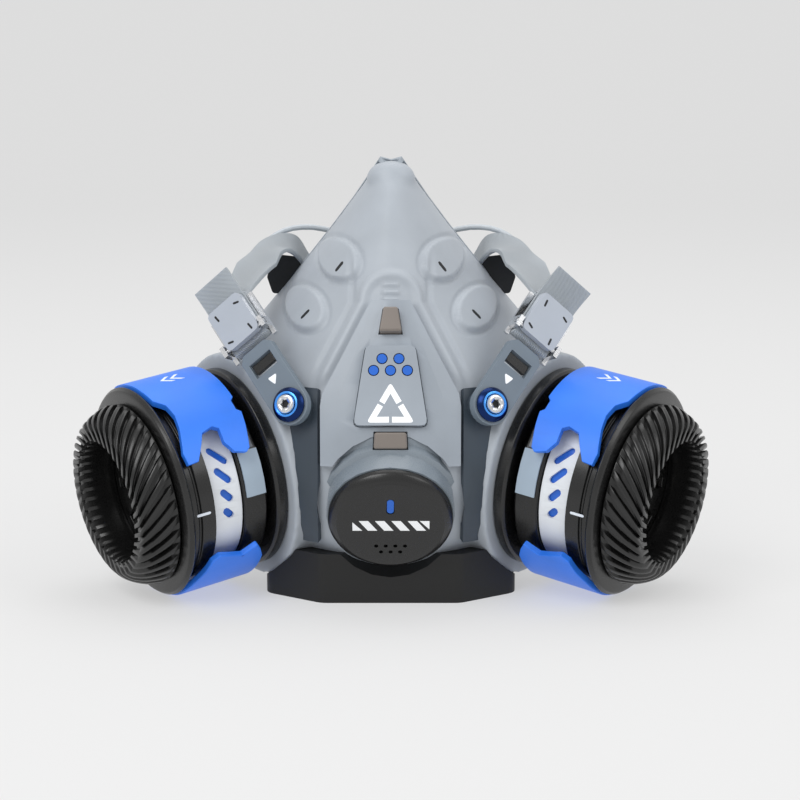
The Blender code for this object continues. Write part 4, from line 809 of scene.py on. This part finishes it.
# grey for a patch on the filter's black body: painted reflection
blockGrey = newMaterial("paintedReflectionGrey", "6d727a", 0.35, relief=0.006)
upperOutline = [(-62, 9), (18, 9), (30, 9), (36, 9), (38, 10.4), (44, 10.4), (46, 9), (54, 9.8), (66, 11.5),
                (68, 13), (66, 17.2), (60, 19.6), (52, 19.4), (50, 21.4), (52, 25.6), (58, 27.6),
                (66, 30.6), (66.5, 34.4), (60, 34.9), (46, 32.4), (38, 31.6), (30, 32.2), (24, 35.2),
                (12, 35.6), (-20, 35.6), (-40, 33.0), (-62, 33.0)]
lowerOutline = [(121, 12.8), (126, 11), (132, 9.6), (196, 9), (196, 35.6), (150, 35.6), (140, 34),
                (132, 31.6), (124, 29.8), (121, 27), (124, 22), (126, 18)]
for side, sign in sides.items():
    port = portFrames[side]
    for part, outline in (("clamp_upper", upperOutline), ("clamp_lower", lowerOutline)):
        node = side + "_" + part
        piece = wrappedPiece(node + "Shell", outline, clampSettings["inner"], clampSettings["outer"], port,
                             finishes["blue_shell"], sign, edge=clampSettings["edge"])
        place(piece, bodyOf[node], "blue_shell", node)
        remade.add(node)
    band = lathe(side + "BandTurned", bandSettings["profile"], port, finish=finishes["light_band"])
    for angle, length in bandSettings["slots"]:
        slotPlace = onCylinder(port, sign, angle, bandSettings["outer"], bandSettings["middle"])
        cut(band, bladed("slotTool", [bar(bandSettings["slot"], length, sign * bandSettings["slant"])],
                         slotPlace, -1.2, 2.0, paintedShade, edge=0))
    shadeSharp(band.data)
    place(band, side + "_filter", "light_band", side + "_band")
    remade.add(side + "_band")
    for i, height in enumerate(markSettings["chevronHeights"]):
        spot = onCylinder(port, sign, markSettings["chevronTurn"], markSettings["chevronOut"], height)
        arrow = [(-2.7, -1.5), (0, 1.5), (2.7, -1.5), (2.7, -0.1), (0, 2.9), (-2.7, -0.1)]
        place(bladed("%sChevron%d" % (side, i), [arrow], spot, -0.5, 0.06, markPaint, edge=0),
              side + "_filter", "light_band")
    spot = onCylinder(port, sign, markSettings["indexTurn"], markSettings["indexOut"],
                      markSettings["indexHeight"])
    place(bladed(side + "IndexMark", [bar(0.9, 5.2)], spot, -0.1, 0.06, markPaint, edge=0), side + "_filter",
          "light_band")
    # a grey patch on the black body beside the clamp: painted reflection
    place(wrappedPiece(side + "BodyReflection", markSettings["block"], markSettings["blockInner"],
                       markSettings["blockOuter"], port, blockGrey, sign, edge=0.15), side + "_filter",
          "label_grey")
print("clamps and marks")

# a dark sheet behind each strap's loop: painted shadow inside the loop
loopShadowSettings = {"depth": 0.031, "thick": 0.8,
                  "outline": [(-43.0, 97.5), (-36.5, 97.5), (-31.0, 103), (-31.0, 108.5), (-35, 111),
                              (-39.5, 111.5), (-43.5, 109.0), (-45.0, 103.5)]}
for side, sign in sides.items():
    spot = Matrix.Translation((0, loopShadowSettings["depth"], 0)) @ Matrix.Rotation(math.radians(90), 4, "X")
    outline = [(-sign * x, z) for x, z in roundedShape(loopShadowSettings["outline"], 1.5)]
    place(bladed(side + "LoopShadow", [outline], spot, -loopShadowSettings["thick"] / 2,
                 loopShadowSettings["thick"] / 2, paintedShade, edge=0.2), "root", "seal_silicone")
print("loop shadows")

for node in sorted(set(nodes) - remade):
    softened(node)
print("softened", len(nodes) - len(remade))

# stage, camera and light
stageSettings = {"depth": 1.6, "half": 3.0, "height": 2.6, "bend": 0.8,
                 "paper": "9c9c9c", "glow": 0.48, "world": 0.66}


def makeStage(s):
    rows = [(-2.5, 0.0)]
    for i in range(13):
        turn = math.radians(i * 7.5)
        rows.append((s["depth"] + s["bend"] * math.sin(turn), s["bend"] * (1 - math.cos(turn))))
    rows.append((s["depth"] + s["bend"], s["height"]))
    shape = bmesh.new()
    pairs = [[shape.verts.new((x, y, z)) for x in (-s["half"], s["half"])] for y, z in rows]
    for a, b in zip(pairs, pairs[1:]):
        shape.faces.new((a[0], a[1], b[1], b[0]))
    mesh = bpy.data.meshes.new("sweep")
    shape.to_mesh(mesh)
    shape.free()
    mesh.shade_smooth()
    obj = newPiece("sweep", mesh)
    paper = newMaterial("paperSweep", s["paper"], 0.9, relief=0.0, mottle=0.0, edgeLift=0.0)
    shader = paper.node_tree.nodes["Principled BSDF"]
    shader.inputs["Emission Color"].default_value = (1, 1, 1, 1)
    shader.inputs["Emission Strength"].default_value = s["glow"]
    shader.inputs["Specular IOR Level"].default_value = 0.0
    mesh.materials.append(paper)


makeStage(stageSettings)
lights = [
    {"at": (-0.55, -0.75, 0.95), "size": 0.7, "power": 6.0},
    {"at": (0.75, -0.45, 0.75), "size": 0.6, "power": 2.2},
    {"at": (0.0, 0.35, 1.05), "size": 0.8, "power": 2.6},
]
for i, s in enumerate(lights):
    data = bpy.data.lights.new("softbox%d" % i, "AREA")
    data.size = s["size"]
    data.energy = s["power"]
    lamp = bpy.data.objects.new("softbox%d" % i, data)
    lamp.location = s["at"]
    lamp.rotation_euler = (Vector((0, 0, 0.07)) - Vector(s["at"])).to_track_quat("-Z", "Y").to_euler()
    bpy.context.scene.collection.objects.link(lamp)
world = bpy.data.worlds.new("studio")
world.use_nodes = True
world.node_tree.nodes["Background"].inputs["Color"].default_value = (1, 1, 1, 1)
world.node_tree.nodes["Background"].inputs["Strength"].default_value = stageSettings["world"]
bpy.context.scene.world = world
bpy.context.scene.view_settings.view_transform = "Standard"
eye = {"target": (0.00315, 0.00103, 0.0635), "distance": 0.75, "elevation": 10.0, "lens": 96.0}
tilt = math.radians(eye["elevation"])
cameraData = bpy.data.cameras.new("camera")
cameraData.lens = eye["lens"]
camera = bpy.data.objects.new("camera", cameraData)
away = Vector((0, -math.cos(tilt), math.sin(tilt)))
camera.location = Vector(eye["target"]) + away * eye["distance"]
camera.rotation_euler = (-away).to_track_quat("-Z", "Y").to_euler()
bpy.context.scene.collection.objects.link(camera)
bpy.context.scene.camera = camera
print("stage")
